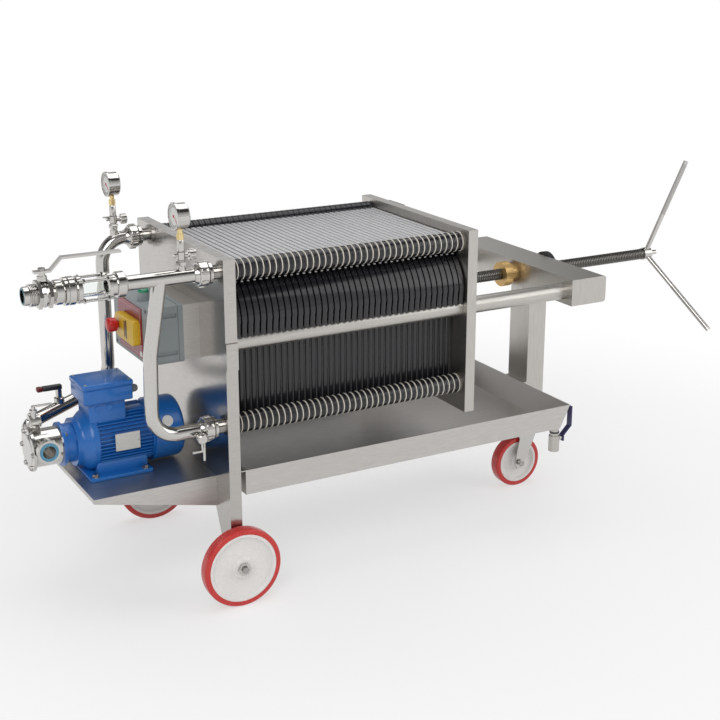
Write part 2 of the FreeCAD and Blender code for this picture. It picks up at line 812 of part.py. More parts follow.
def eyelet(side, height):
    """The round corner of a plate through which a port runs."""
    ring = hexagon("eyelet_diameter", "plate_thickness", "head_x + sheet_thickness", "%s * %s" % (side, PORT_Y),
                   height, "+X")
    ring.Polygon = 12
    neck = block("plate_thickness", "%s - plate_side / 2 + neck_inset" % PORT_Y, "neck_height",
                 "head_x + sheet_thickness", "min(%s * %s; %s * (plate_side / 2 - neck_inset))" % (
                     side, PORT_Y, side), "%s - neck_height / 2" % height)
    return fuse(ring, neck)


# Plate pack: square plates with four eyelets and two hooks, and a filter sheet on each side of every plate
plate = cut(
    fuse(
        block("plate_thickness", "plate_side", "plate_side", "head_x + sheet_thickness", "-plate_side / 2",
              "pack_middle - plate_side / 2"),
        eyelet("(-1)", "eyelet_top"),
        eyelet("1", "eyelet_top"),
        eyelet("(-1)", "eyelet_bottom"),
        eyelet("1", "eyelet_bottom"),
        lug("(-1)"),
        lug("1"),
    ),
    rod("bar_diameter + 2 * bar_slack", "bar_length", "head_x", "-" + BAR_Y, "bar_height"),
    rod("bar_diameter + 2 * bar_slack", "bar_length", "head_x", BAR_Y, "bar_height"),
)
filter_sheet = block("sheet_thickness", "plate_side - 2 * sheet_inset", "plate_side - 2 * sheet_inset", "head_x",
                     "-plate_side / 2 + sheet_inset", "pack_middle - plate_side / 2 + sheet_inset")
doc.recompute()
pitch = size("plate_thickness") + size("sheet_thickness")
row("filter_plates", plate.Shape, [pitch * index for index in range(int(size("plate_count")))])
row("filter_sheets", filter_sheet.Shape, [pitch * index for index in range(int(size("plate_count")) + 1)])

# Movable plate: rides on the bars and holds the screw's tip in a socket
movable = body("movable_plate")
movable_outline = outline(movable, "YZ_Plane", [
    ("-movable_width / 2", "movable_bottom"),
    ("movable_width / 2", "movable_bottom"),
    ("movable_width / 2", "movable_top"),
    ("-movable_width / 2", "movable_top"),
], MOVABLE_IN)
pad(movable, movable_outline, "movable_thickness")
for bar_y in ("-" + BAR_Y, BAR_Y):
    drilled(movable, "bar_diameter + 2 * bar_clearance", "movable_thickness", MOVABLE_IN, bar_y, "bar_height")
added_rod(movable, "socket_diameter", "socket_length", MOVABLE_OUT, "0", "bar_height")
drilled(movable, "screw_tip_diameter + 2 * running_clearance", "screw_tip_length + 2 * end_play",
        "%s + socket_length" % MOVABLE_OUT, "0", "bar_height", "-X")

# Screw with its smooth tip, and the three-armed handle on a hub at its end
screw = body("screw")
added_rod(screw, "screw_diameter", "screw_length", SCREW_START, "0", "bar_height")
added_rod(screw, "screw_tip_diameter", "screw_tip_length", SCREW_START, "0", "bar_height", "-X")


def arm(turn):
    """One arm of the handle, swept a little away from the press."""
    lean = Rotation(Vector(0, 0, 1), -size("arm_lean_angle"))
    roll = Rotation(Vector(1, 0, 0), turn)
    bar = rod("arm_diameter", "arm_length", "%s + hub_length / 2" % SCREW_END, "0", "bar_height", "+Y")
    bar.Placement.Rotation = roll * lean * ALONG["+Y"]
    return bar


keep(fuse(
    rod("hub_diameter", "hub_length", SCREW_END, "0", "bar_height"),
    rod("hub_end_diameter", "hub_length + hub_end_length", SCREW_END, "0", "bar_height"),
    *[arm(size("arm_phase_angle") + 360 * index / size("arm_count")) for index in range(int(size("arm_count")))],
), "handle")

# Bronze nut in the crossbeam, and the dark flange that holds it
BEAM_NUT = "(%s - nut_neck_length)" % BEAM_IN
NUT_BORE = "screw_diameter + 2 * nut_thread_clearance"
keep(cut(
    fuse(
        rod("nut_collar_diameter", "nut_collar_length", BEAM_NUT, "0", "bar_height", "-X"),
        rod("nut_neck_diameter", "nut_neck_length + beam_depth", BEAM_NUT, "0", "bar_height"),
    ),
    rod(NUT_BORE, "nut_collar_length + nut_neck_length + beam_depth", "%s - nut_collar_length" % BEAM_NUT, "0",
        "bar_height"),
), "screw_nut")
keep(cut(
    rod("nut_flange_diameter", "nut_flange_thickness", BEAM_OUT, "0", "bar_height"),
    rod(NUT_BORE, "nut_flange_thickness", BEAM_OUT, "0", "bar_height"),
), "nut_flange")


def out(distance):
    """A place on X so far out from the head's outer face."""
    return "(%s - (%s))" % (HEAD_OUT, distance)


def union(start, y, z):
    """A pipe union around a pipe: a ring nut between two collars, bored for the pipe."""
    return cut(
        fuse(
            rod("union_diameter * 0.86", "union_length", out(start), y, z, "-X"),
            rod("union_diameter", "union_length * 0.5", out("%s + union_length * 0.25" % start), y, z, "-X"),
        ),
        rod("pipe_diameter", "union_length", out(start), y, z, "-X"),
    )


def route(name, stops, bends):
    """A bent pipe through stops given as formulas."""
    points = [Vector(worth(x), worth(y), worth(z)) for x, y, z in stops]
    thing = pipe(points, size("pipe_diameter") / 2, bends)
    thing.Label = name
    return thing


# Outlet line on the near side: the two near ports joined by a bent pipe, then the sight glass and the valve
NEAR_Y = "(-%s)" % PORT_Y
FAR_Y = PORT_Y
LINE_END = "stub_length + union_length + line_run"
bend = size("bend_radius")
down_pipe = route("down_pipe", [
    (out("tee_distance"), NEAR_Y, "eyelet_top"),
    (out("kink_distance"), NEAR_Y, "kink_height"),
    (out("down_distance"), NEAR_Y, "eyelet_bottom"),
    (HEAD_OUT, NEAR_Y, "eyelet_bottom"),
], [bend, bend])
keep(fuse(
    rod("pipe_diameter", LINE_END, HEAD_OUT, NEAR_Y, "eyelet_top", "-X"),
    down_pipe,
    rod("cock_diameter", "pipe_diameter / 2 + boss_rise", out("gauge_distance"), NEAR_Y, "eyelet_top", "+Z"),
), "outlet_pipe")

# Feed line on the far side: from the pump up to the far port
PUMP_PORT_X = out("pump_port_distance")
FEED_START_Y = "(motor_y + pump_port_reach)"
keep(fuse(
    route("feed_run", [
        (HEAD_OUT, FAR_Y, "eyelet_top"),
        (out("far_bend_distance"), FAR_Y, "eyelet_top"),
        (out("far_bend_distance"), FAR_Y, "far_bottom"),
        (PUMP_PORT_X, "%s + feed_lead_in" % FEED_START_Y, "motor_axis + pump_port_rise"),
        (PUMP_PORT_X, FEED_START_Y, "motor_axis + pump_port_rise"),
    ], [bend, bend, bend]),
    rod("cock_diameter", "pipe_diameter / 2 + boss_rise", out("gauge_distance"), FAR_Y, "eyelet_top", "+Z"),
), "feed_pipe")

keep(group(
    union("stub_length", NEAR_Y, "eyelet_top"),
    union("stub_length", NEAR_Y, "eyelet_bottom"),
    union("stub_length", FAR_Y, "eyelet_top"),
), "pipe_unions")

# Sight glass: a glass tube between two flanges held by four rods
GLASS_START = "%s + sight_union_length" % LINE_END
GLASS_END = "%s + sight_length" % GLASS_START
rods = []
for rod_y in (-1, 1):
    for rod_z in (-1, 1):
        rods.append(rod(
            "sight_rod_diameter", "sight_length", out(GLASS_START),
            "%s + %d * sight_rod_spacing / 2" % (NEAR_Y, rod_y), "eyelet_top + %d * sight_rod_spacing / 2" % rod_z,
            "-X",
        ))
keep(fuse(
    rod("sight_union_diameter * 0.8", "sight_union_length", out(LINE_END), NEAR_Y, "eyelet_top", "-X"),
    rod("sight_union_diameter", "sight_union_length * 0.45", out("%s + sight_union_length * 0.1" % LINE_END), NEAR_Y,
        "eyelet_top", "-X"),
    rod("sight_flange_diameter", "sight_flange_thickness", out("%s - sight_flange_thickness" % GLASS_START), NEAR_Y,
        "eyelet_top", "-X"),
    *rods,
    rod("clamp_diameter", "clamp_length", out(GLASS_END), NEAR_Y, "eyelet_top", "-X"),
), "sight_frame")
keep(rod("sight_glass_diameter", "sight_length", out(GLASS_START), NEAR_Y, "eyelet_top", "-X"), "sight_glass")

# Outlet valve: clamp flange, six-sided body, hose thread and end, and the stem that its lever turns
CLAMP_START = "%s + clamp_length" % GLASS_END
NECK_START = "%s + clamp_length" % CLAMP_START
VALVE_START = "%s + valve_neck_length" % NECK_START
THREAD_START = "%s + valve_length" % VALVE_START
HOSE_START = "%s + hose_thread_length" % THREAD_START
HOSE_END = "%s + hose_end_length" % HOSE_START
PIVOT = "%s + valve_length / 2" % VALVE_START
STEM_TOP = "(eyelet_top + valve_diameter / 2 + valve_stem_height)"
keep(cut(
    fuse(
        rod("clamp_diameter", "clamp_length", out(CLAMP_START), NEAR_Y, "eyelet_top", "-X"),
        rod("pipe_diameter", "valve_neck_length", out(NECK_START), NEAR_Y, "eyelet_top", "-X"),
        hexagon("valve_diameter", "valve_length", out(VALVE_START), NEAR_Y, "eyelet_top", "-X"),
        rod("hose_thread_diameter", "hose_thread_length", out(THREAD_START), NEAR_Y, "eyelet_top", "-X"),
        rod("hose_end_diameter", "hose_end_length", out(HOSE_START), NEAR_Y, "eyelet_top", "-X"),
        rod("valve_stem_diameter", "valve_diameter / 2 + valve_stem_height", out(PIVOT), NEAR_Y, "eyelet_top", "+Z"),
    ),
    rod("hose_bore", "hose_end_length + hose_thread_length + valve_length / 2", out(HOSE_END), NEAR_Y, "eyelet_top",
        "+X"),
), "outlet_valve")
lever = body("outlet_lever")
LEVER_Z = "(%s + end_play)" % STEM_TOP
lever_outline = outline(lever, "XZ_Plane", [
    ("%s - lever_width" % out(PIVOT), LEVER_Z),
    ("%s + lever_width" % out(PIVOT), LEVER_Z),
    ("%s + lever_width + lever_rise" % out(PIVOT), "%s + lever_rise" % LEVER_Z),
    ("%s + lever_length" % out(PIVOT), "%s + lever_rise" % LEVER_Z),
    ("%s + lever_length" % out(PIVOT), "%s + lever_rise + lever_thickness" % LEVER_Z),
    ("%s + lever_width + lever_rise" % out(PIVOT), "%s + lever_rise + lever_thickness" % LEVER_Z),
    ("%s + lever_width" % out(PIVOT), "%s + lever_thickness" % LEVER_Z),
    ("%s - lever_width" % out(PIVOT), "%s + lever_thickness" % LEVER_Z),
], PORT_Y)
pad(lever, lever_outline, "lever_width", symmetric=True)

# Two gauges on their sampling cocks
BOSS_TOP = "(eyelet_top + pipe_diameter / 2 + boss_rise)"
GAUGE_BOTTOM = "(eyelet_top + gauge_rise - gauge_diameter / 2)"
STEM_BOTTOM = "(%s - stem_length)" % GAUGE_BOTTOM
cocks = []
stems = []
cases = []
for gauge_y in (NEAR_Y, FAR_Y):
    at_x = out("gauge_distance")
    cocks.append(fuse(
        rod("cock_diameter", "%s - %s" % (STEM_BOTTOM, BOSS_TOP), at_x, gauge_y, BOSS_TOP, "+Z"),
        rod("cock_diameter * 0.7", "cock_side_length", at_x, gauge_y, "%s + cock_side_rise" % BOSS_TOP, "+X"),
        rod("cock_side_diameter", "cock_side_length / 2", "%s + cock_side_length / 2" % at_x, gauge_y,
            "%s + cock_side_rise" % BOSS_TOP, "+X"),
    ))
    stems.append(fuse(
        hexagon("stem_nut_diameter", "stem_length * 0.6", at_x, gauge_y, STEM_BOTTOM, "+Z"),
        rod("stem_diameter", "stem_length + gauge_saddle", at_x, gauge_y, STEM_BOTTOM, "+Z"),
    ))
    cases.append(cut(
        rod("gauge_diameter", "gauge_depth", "%s + gauge_depth / 2" % at_x, gauge_y, "eyelet_top + gauge_rise", "-X"),
        rod("gauge_diameter - 2 * gauge_rim", "gauge_recess", "%s - gauge_depth / 2" % at_x, gauge_y,
            "eyelet_top + gauge_rise", "+X"),
        block("stem_nut_diameter", "stem_nut_diameter", "gauge_saddle", "%s - stem_nut_diameter / 2" % at_x,
              "%s - stem_nut_diameter / 2" % gauge_y, "%s" % GAUGE_BOTTOM),
    ))
keep(group(*cocks), "sample_cocks")
keep(group(*stems), "gauge_stems")
keep(group(*cases), "gauge_cases")

# Switch box on a steel bracket: lid and base with a groove between, slots in its near side
BOX_X = out("box_front_distance")
BOX_Y = "(box_middle - box_width / 2)"
PANEL_Z = "(box_bottom + box_height / 2)"
box = body("control_box")
added_block(box, "lid_depth", "box_width", "box_height", BOX_X, BOX_Y, "box_bottom")
added_block(box, "box_depth - lid_depth - lid_groove", "box_width", "box_height",
            "%s + lid_depth + lid_groove" % BOX_X, BOX_Y, "box_bottom")
added_block(box, "lid_groove", "box_width - 2 * lid_groove", "box_height - 2 * lid_groove", "%s + lid_depth" % BOX_X,
            "%s + lid_groove" % BOX_Y, "box_bottom + lid_groove")
rounded(box, lambda edge: runs(edge, 0) and edge.Length > worth("lid_groove") + 1, "box_edge")
for slot_z in ("box_bottom + 2 * slot_height", "box_bottom + box_height - 3 * slot_height"):
    slotted(box, "slot_length", "slot_depth", "slot_height", "%s + lid_depth - slot_length - lid_groove" % BOX_X,
            BOX_Y, slot_z)
keep(block("box_front_distance - box_depth", "box_bracket_width", "box_bracket_height", "%s + box_depth" % BOX_X,
           "box_middle - box_bracket_width / 2", "%s - box_bracket_height / 2" % PANEL_Z), "box_bracket")

keep(block("switch_plate_thickness", "switch_plate_width", "switch_plate_height",
           "%s - switch_plate_thickness" % BOX_X, "box_middle - switch_plate_width / 2",
           "%s - switch_plate_height / 2" % PANEL_Z), "switch_plate")
PANEL_X = "(%s - switch_plate_thickness)" % BOX_X
COVER_X = "(%s - cover_depth)" % PANEL_X
COVER_MIDDLE = "(box_middle + cover_offset)"
STOP_Y = "(box_middle + stop_offset)"
cover = body("switch_cover")
added_block(cover, "cover_depth", "cover_width", "cover_height", COVER_X, "%s - cover_width / 2" % COVER_MIDDLE,
            "%s - cover_height / 2" % PANEL_Z)
rounded(cover, lambda edge: runs(edge, 0) and edge.CenterOfMass.y < worth(COVER_MIDDLE), "cover_corner")
rounded(cover, lambda edge: runs(edge, 0) and edge.CenterOfMass.y > worth("%s + cover_width / 2" % COVER_MIDDLE) - 1,
        "cover_height * 0.49")
slotted(cover, "slot_depth", "cover_slot_width", "cover_height * 0.76", COVER_X, "box_middle - cover_slot_offset",
        "%s - cover_height * 0.38" % PANEL_Z)
drilled(cover, "stop_stem_diameter + 2 * bar_clearance", "stop_travel + stop_gap", COVER_X, STOP_Y, PANEL_Z)
STOP_X = "(%s - stop_gap - stop_travel)" % COVER_X
keep(fuse(
    rod("stop_diameter", "stop_length", STOP_X, STOP_Y, PANEL_Z, "-X"),
    rod("stop_stem_diameter", "stop_length + stop_gap + stop_travel + end_play", "%s - stop_length" % STOP_X, STOP_Y,
        PANEL_Z, "+X"),
), "stop_button")

# Start lamp on a boss on the box
LAMP_X = "(%s + lamp_inset)" % BOX_X
LAMP_Y = "(box_middle - lamp_offset)"
keep(rod("lamp_boss_diameter", "lamp_boss_height", LAMP_X, LAMP_Y, "box_bottom + box_height", "+Z"), "lamp_boss")
keep(rod("lamp_diameter", "lamp_height", LAMP_X, LAMP_Y, "box_bottom + box_height + lamp_boss_height", "+Z"),
     "start_lamp")

# Motor on the shelf, its axis along X: fan cover, ribbed housing with feet and end bell
AXIS_Z = "motor_axis"
FAN_START = "fan_end_distance"
HOUSING_START = "%s + fan_cover_length" % FAN_START
BELL_START = "%s + motor_length" % HOUSING_START
LANTERN_START = "%s + bell_length" % BELL_START
PUMP_START = "%s + lantern_length" % LANTERN_START
PUMP_END = "%s + pump_length" % PUMP_START
keep(rod("fan_cover_diameter", "fan_cover_length", out(FAN_START), "motor_y", AXIS_Z, "-X"), "fan_cover")
ribs = []
for index in range(int(size("fin_count"))):
    turn = 360 * index / size("fin_count")
    rib = block("motor_length", "fin_thickness", "motor_diameter / 2 + fin_height", out(BELL_START), "motor_y", AXIS_Z)
    rib.Placement.Rotation = Rotation(Vector(1, 0, 0), turn)
    if 65 < turn < 115 or 245 < turn < 295 or turn < 20 or turn > 340:
        continue
    ribs.append(rib)
keep(fuse(
    rod("motor_diameter", "motor_length", out(HOUSING_START), "motor_y", AXIS_Z, "-X"),
    cone("bell_diameter", "bell_end_diameter", "bell_length", out(BELL_START), "motor_y", AXIS_Z, "-X"),
    block("foot_length", "foot_span", "foot_thickness", out("%s + foot_overhang" % BELL_START),
          "motor_y - foot_span / 2", "shelf_top"),
    block("motor_length", "foot_rib", "motor_axis - shelf_top", out(BELL_START), "motor_y - foot_span * 0.3",
          "shelf_top"),
    block("motor_length", "foot_rib", "motor_axis - shelf_top", out(BELL_START),
          "motor_y + foot_span * 0.3 - foot_rib", "shelf_top"),
    *ribs,
), "motor_housing")
keep(fuse(
    rod("lantern_diameter", "lantern_length", out(LANTERN_START), "motor_y", AXIS_Z, "-X"),
    rod("bell_end_diameter", "lantern_flange", out(LANTERN_START), "motor_y", AXIS_Z, "-X"),
    rod("pump_cover_diameter", "lantern_flange", out("%s - lantern_flange" % PUMP_START), "motor_y", AXIS_Z, "-X"),
), "motor_flange")

# Terminal box on the motor
TERMINAL_Z = "(motor_axis + motor_diameter / 2 + terminal_neck)"
TERMINAL_X = out("%s + motor_length + terminal_overhang" % HOUSING_START)
terminal = body("terminal_box")
added_block(terminal, "terminal_length", "terminal_width", "terminal_height - terminal_lid", TERMINAL_X,
            "terminal_y", TERMINAL_Z)
added_block(terminal, "terminal_length + 4", "terminal_width + 4", "terminal_lid", "%s - 2" % TERMINAL_X,
            "terminal_y - 2", "%s + terminal_height - terminal_lid" % TERMINAL_Z)
added_block(terminal, "terminal_length * 0.75", "terminal_width * 0.8", "terminal_neck + motor_diameter / 2",
            "%s + terminal_length * 0.1" % TERMINAL_X, "terminal_y + terminal_width * 0.1", "motor_axis")
drilled(terminal, "motor_diameter + 2 * fin_height + 2 * end_play", "terminal_length * 2",
        "%s - terminal_length / 2" % TERMINAL_X, "motor_y", AXIS_Z)

# Pump: body with a port each side and a front cover
keep(cut(
    fuse(
        rod("pump_diameter", "pump_length", out(PUMP_START), "motor_y", AXIS_Z, "-X"),
        rod("pump_port_diameter", "pump_port_reach", PUMP_PORT_X, "motor_y", "motor_axis + pump_port_rise", "-Y"),
        rod("pump_port_ring", "pump_port_ring_length", PUMP_PORT_X, "motor_y - pump_port_reach",
            "motor_axis + pump_port_rise", "+Y"),
        rod("pump_port_diameter", "pump_port_reach", PUMP_PORT_X, "motor_y", "motor_axis + pump_port_rise", "+Y"),
        rod("relief_diameter * 0.7", "relief_length * 0.6", out(PUMP_END), "motor_y", "motor_axis + relief_rise", "+X"),
        rod("relief_diameter", "relief_length * 0.4", out("%s - relief_length * 0.4" % PUMP_END), "motor_y",
            "motor_axis + relief_rise", "-X"),
        block("relief_length * 0.5", "relief_diameter * 0.6", "relief_rise", out(PUMP_END),
              "motor_y - relief_diameter * 0.3", AXIS_Z),
    ),
    rod("pump_port_bore", "pump_bore_depth", PUMP_PORT_X, "motor_y - pump_port_reach",
        "motor_axis + pump_port_rise", "+Y"),
), "pump_body")
keep(rod("pump_cover_diameter", "pump_cover_thickness", out(PUMP_END), "motor_y", AXIS_Z, "-X"), "pump_cover")

# Check every piece, then write it
doc.recompute()
faults = [item.Label for item in doc.Objects if "Invalid" in item.State or "Error" in item.State]
for node in NODES:
    if node.Shape.isNull() or not node.Shape.isValid() or not node.Shape.Solids:
        faults.append(node.Label)
if faults:
    raise RuntimeError("pieces that did not build: " + ", ".join(sorted(set(faults))))
os.makedirs("parts", exist_ok=True)
whole = FreeCAD.BoundBox()
for node in NODES:
    node.Shape.exportStep("parts/%s.step" % node.Label)
    whole.add(node.Shape.BoundBox)
    print(node.Label, "solids", len(node.Shape.Solids), "volume", round(node.Shape.Volume))
print("whole", whole)
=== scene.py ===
"""Looks of the plate filter press: finishes, fine pieces, studio and camera.

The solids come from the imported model. This script dresses them, and stands finer pieces in the place of some:
plates with round edges, a real thread, dials, slotted union nuts. All lengths are in metres.
"""
import logging
import math
from dataclasses import dataclass, field
from enum import Enum
from typing import Callable, Iterable, Optional, Sequence

import bmesh
import bpy
from mathutils import Matrix, Vector


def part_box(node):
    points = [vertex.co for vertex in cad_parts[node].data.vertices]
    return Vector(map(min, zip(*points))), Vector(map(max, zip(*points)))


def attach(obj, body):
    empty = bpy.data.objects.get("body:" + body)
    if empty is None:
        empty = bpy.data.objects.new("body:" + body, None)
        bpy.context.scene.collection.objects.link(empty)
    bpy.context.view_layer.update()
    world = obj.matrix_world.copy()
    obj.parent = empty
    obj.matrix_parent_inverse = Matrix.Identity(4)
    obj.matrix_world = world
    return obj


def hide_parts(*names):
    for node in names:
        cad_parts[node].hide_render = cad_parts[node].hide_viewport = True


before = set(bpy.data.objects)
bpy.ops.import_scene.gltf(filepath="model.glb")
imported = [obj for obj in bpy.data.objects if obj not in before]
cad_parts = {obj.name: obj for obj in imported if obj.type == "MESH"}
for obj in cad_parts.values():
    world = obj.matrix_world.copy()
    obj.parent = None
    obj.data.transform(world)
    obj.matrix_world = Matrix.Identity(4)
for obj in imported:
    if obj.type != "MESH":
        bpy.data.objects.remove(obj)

logging.basicConfig(level=logging.INFO, format="%(message)s")
log = logging.getLogger("press")

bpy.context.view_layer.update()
MM = 0.001
ROUND = 48


class Body(Enum):
    """The bodies that pieces ride on."""

    PRESS = "press"
    MOVABLE = "movable"
    SCREW = "screw"
    WHEEL_NEAR = "wheel_near"
    WHEEL_FAR = "wheel_far"
    CASTER_FORK = "caster_fork"
    CASTER_WHEEL = "caster_wheel"
    OUTLET_LEVER = "outlet_lever"
    DRAIN_LEVER = "drain_lever"
    STOP_BUTTON = "stop_button"


class Axis(Enum):
    """A direction along which a turned piece stands."""

    X = Vector((1, 0, 0))
    MINUS_X = Vector((-1, 0, 0))
    Y = Vector((0, 1, 0))
    MINUS_Y = Vector((0, -1, 0))
    Z = Vector((0, 0, 1))
    MINUS_Z = Vector((0, 0, -1))


@dataclass(frozen=True)
class Span:
    """The box that a node of the model fills."""

    low: Vector
    high: Vector

    @classmethod
    def of(cls, node: str) -> "Span":
        """The box of one node."""
        low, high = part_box(node)
        return cls(Vector(low), Vector(high))

    @property
    def centre(self) -> Vector:
        """The middle of the box."""
        return (self.low + self.high) / 2

    @property
    def size(self) -> Vector:
        """The box's three lengths."""
        return self.high - self.low


# ---------------------------------------------------------------- shader groups


def new_group(name: str, inputs: dict[str, tuple[str, object]], outputs: dict[str, str]) -> bpy.types.ShaderNodeTree:
    """An empty shader group with its sockets.

    Args:
        name: the group's name.
        inputs: socket name to its type and default value.
        outputs: socket name to its type.

    Returns:
        The group, with a Group Input and a Group Output node.
    """
    group = bpy.data.node_groups.new(name, "ShaderNodeTree")
    for label, (kind, default) in inputs.items():
        socket = group.interface.new_socket(label, in_out="INPUT", socket_type=kind)
        socket.default_value = default
    for label, kind in outputs.items():
        group.interface.new_socket(label, in_out="OUTPUT", socket_type=kind)
    group.nodes.new("NodeGroupInput").name = "in"
    group.nodes.new("NodeGroupOutput").name = "out"
    return group


def build_grain_group() -> bpy.types.ShaderNodeTree:
    """Grain drawn out along an axis, as brushing leaves on steel, with smudges over it.

    Returns:
        A group whose Grain and Smudge run from 0 to 1.
    """
    group = new_group(
        "Grain",
        {
            "Stretch": ("NodeSocketVector", (60.0, 60.0, 60.0)),
            "Smudge Scale": ("NodeSocketFloat", 6.0),
        },
        {"Grain": "NodeSocketFloat", "Smudge": "NodeSocketFloat"},
    )
    nodes, links = group.nodes, group.links
    place = nodes.new("ShaderNodeTexCoord")
    stretch = nodes.new("ShaderNodeVectorMath")
    stretch.operation = "MULTIPLY"
    links.new(place.outputs["Object"], stretch.inputs[0])
    links.new(nodes["in"].outputs["Stretch"], stretch.inputs[1])
    grain = nodes.new("ShaderNodeTexNoise")
    grain.inputs["Scale"].default_value = 1.0
    grain.inputs["Detail"].default_value = 4.0
    grain.inputs["Roughness"].default_value = 0.6
    links.new(stretch.outputs["Vector"], grain.inputs["Vector"])
    smudge = nodes.new("ShaderNodeTexNoise")
    smudge.inputs["Detail"].default_value = 3.0
    links.new(place.outputs["Object"], smudge.inputs["Vector"])
    links.new(nodes["in"].outputs["Smudge Scale"], smudge.inputs["Scale"])
    links.new(grain.outputs["Fac"], nodes["out"].inputs["Grain"])
    links.new(smudge.outputs["Fac"], nodes["out"].inputs["Smudge"])
    return group


def build_mottle_group() -> bpy.types.ShaderNodeTree:
    """Two colours mottled into each other by a mask.

    Returns:
        A group that puts out the mixed colour and a roughness between two values.
    """
    group = new_group(
        "Mottle",
        {
            "Mask": ("NodeSocketFloat", 0.5),
            "Light": ("NodeSocketColor", (0.8, 0.8, 0.8, 1.0)),
            "Dark": ("NodeSocketColor", (0.6, 0.6, 0.6, 1.0)),
            "Smooth": ("NodeSocketFloat", 0.2),
            "Rough": ("NodeSocketFloat", 0.4),
        },
        {"Colour": "NodeSocketColor", "Roughness": "NodeSocketFloat"},
    )
    nodes, links = group.nodes, group.links
    spread = nodes.new("ShaderNodeMapRange")
    spread.inputs["From Min"].default_value = 0.3
    spread.inputs["From Max"].default_value = 0.7
    links.new(nodes["in"].outputs["Mask"], spread.inputs["Value"])
    mix = nodes.new("ShaderNodeMix")
    mix.data_type = "RGBA"
    links.new(spread.outputs["Result"], mix.inputs["Factor"])
    links.new(nodes["in"].outputs["Light"], mix.inputs["A"])
    links.new(nodes["in"].outputs["Dark"], mix.inputs["B"])
    rough = nodes.new("ShaderNodeMapRange")
    rough.inputs["From Min"].default_value = 0.3
    rough.inputs["From Max"].default_value = 0.7
    links.new(nodes["in"].outputs["Mask"], rough.inputs["Value"])
    links.new(nodes["in"].outputs["Smooth"], rough.inputs["To Min"])
    links.new(nodes["in"].outputs["Rough"], rough.inputs["To Max"])
    links.new(mix.outputs["Result"], nodes["out"].inputs["Colour"])
    links.new(rough.outputs["Result"], nodes["out"].inputs["Roughness"])
    return group


GRAIN = build_grain_group()
MOTTLE = build_mottle_group()


# ---------------------------------------------------------------- finishes


@dataclass(frozen=True)
class Finish:
    """An opaque finish: two close colours, a range of roughness and a fine relief."""

    name: str
    light: tuple[float, float, float]
    dark: tuple[float, float, float]
    metallic: float = 0.0
    smooth: float = 0.3
    rough: float = 0.45
    stretch: tuple[float, float, float] = (300.0, 300.0, 300.0)
    smudge_scale: float = 8.0
    relief: float = 0.05
    relief_depth: float = 0.0003
    coat: float = 0.0
    by_grain: bool = True

    def material(self) -> bpy.types.Material:
        """The material of this finish, made once."""
        known = bpy.data.materials.get(self.name)
        if known is not None:
            return known
        material = bpy.data.materials.new(self.name)
        material.use_nodes = True
        nodes, links = material.node_tree.nodes, material.node_tree.links
        shader = nodes["Principled BSDF"]
        shader.inputs["Metallic"].default_value = self.metallic
        shader.inputs["Coat Weight"].default_value = self.coat
        grain = nodes.new("ShaderNodeGroup")
        grain.node_tree = GRAIN
        grain.inputs["Stretch"].default_value = self.stretch
        grain.inputs["Smudge Scale"].default_value = self.smudge_scale
        mottle = nodes.new("ShaderNodeGroup")
        mottle.node_tree = MOTTLE
        mottle.inputs["Light"].default_value = (*self.light, 1.0)
        mottle.inputs["Dark"].default_value = (*self.dark, 1.0)
        mottle.inputs["Smooth"].default_value = self.smooth
        mottle.inputs["Rough"].default_value = self.rough
        links.new(grain.outputs["Grain" if self.by_grain else "Smudge"], mottle.inputs["Mask"])
        links.new(mottle.outputs["Colour"], shader.inputs["Base Color"])
        links.new(mottle.outputs["Roughness"], shader.inputs["Roughness"])
        bump = nodes.new("ShaderNodeBump")
        bump.inputs["Strength"].default_value = self.relief
        bump.inputs["Distance"].default_value = self.relief_depth
        links.new(grain.outputs["Grain"], bump.inputs["Height"])
        links.new(bump.outputs["Normal"], shader.inputs["Normal"])
        return material


@dataclass(frozen=True)
class GlassFinish:
    """Clear glass with a faint tint."""

    name: str
    tint: tuple[float, float, float]
    roughness: float = 0.02

    def material(self) -> bpy.types.Material:
        """The material of this glass, made once."""
        known = bpy.data.materials.get(self.name)
        if known is not None:
            return known
        material = bpy.data.materials.new(self.name)
        material.use_nodes = True
        shader = material.node_tree.nodes["Principled BSDF"]
        shader.inputs["Base Color"].default_value = (*self.tint, 1.0)
        shader.inputs["Transmission Weight"].default_value = 1.0
        shader.inputs["Roughness"].default_value = self.roughness
        shader.inputs["IOR"].default_value = 1.3
        return material


POLISHED = Finish("polished steel", (0.52, 0.50, 0.475), (0.44, 0.42, 0.40), 1.0, 0.16, 0.26, (40, 40, 900), 3.0, 0.03)
BRUSHED = Finish("brushed steel", (0.56, 0.54, 0.51), (0.46, 0.44, 0.41), 1.0, 0.30, 0.42, (25, 900, 900), 3.0, 0.05)
BRUSHED_UP = Finish("steel brushed upright", (0.56, 0.54, 0.51), (0.46, 0.44, 0.41), 1.0, 0.30, 0.42, (900, 900, 25), 3.0,
                    0.05)
SHEET = Finish("sheet steel", (0.58, 0.56, 0.54), (0.50, 0.48, 0.46), 1.0, 0.34, 0.46, (30, 600, 600), 3.0, 0.05)
BRIGHT = Finish("bright steel", (0.60, 0.585, 0.56), (0.50, 0.485, 0.465), 1.0, 0.08, 0.16, (500, 500, 500), 20.0, 0.02)
THREAD = Finish("dark screw steel", (0.24, 0.23, 0.215), (0.12, 0.115, 0.11), 1.0, 0.22, 0.34, (300, 300, 300), 30.0, 0.1)
BRONZE = Finish("bronze", (0.72, 0.50, 0.24), (0.62, 0.41, 0.18), 1.0, 0.22, 0.34, (200, 900, 900), 20.0, 0.04)
BRASS = Finish("brass", (0.80, 0.64, 0.34), (0.70, 0.54, 0.26), 1.0, 0.18, 0.30, (400, 400, 400), 30.0, 0.03)
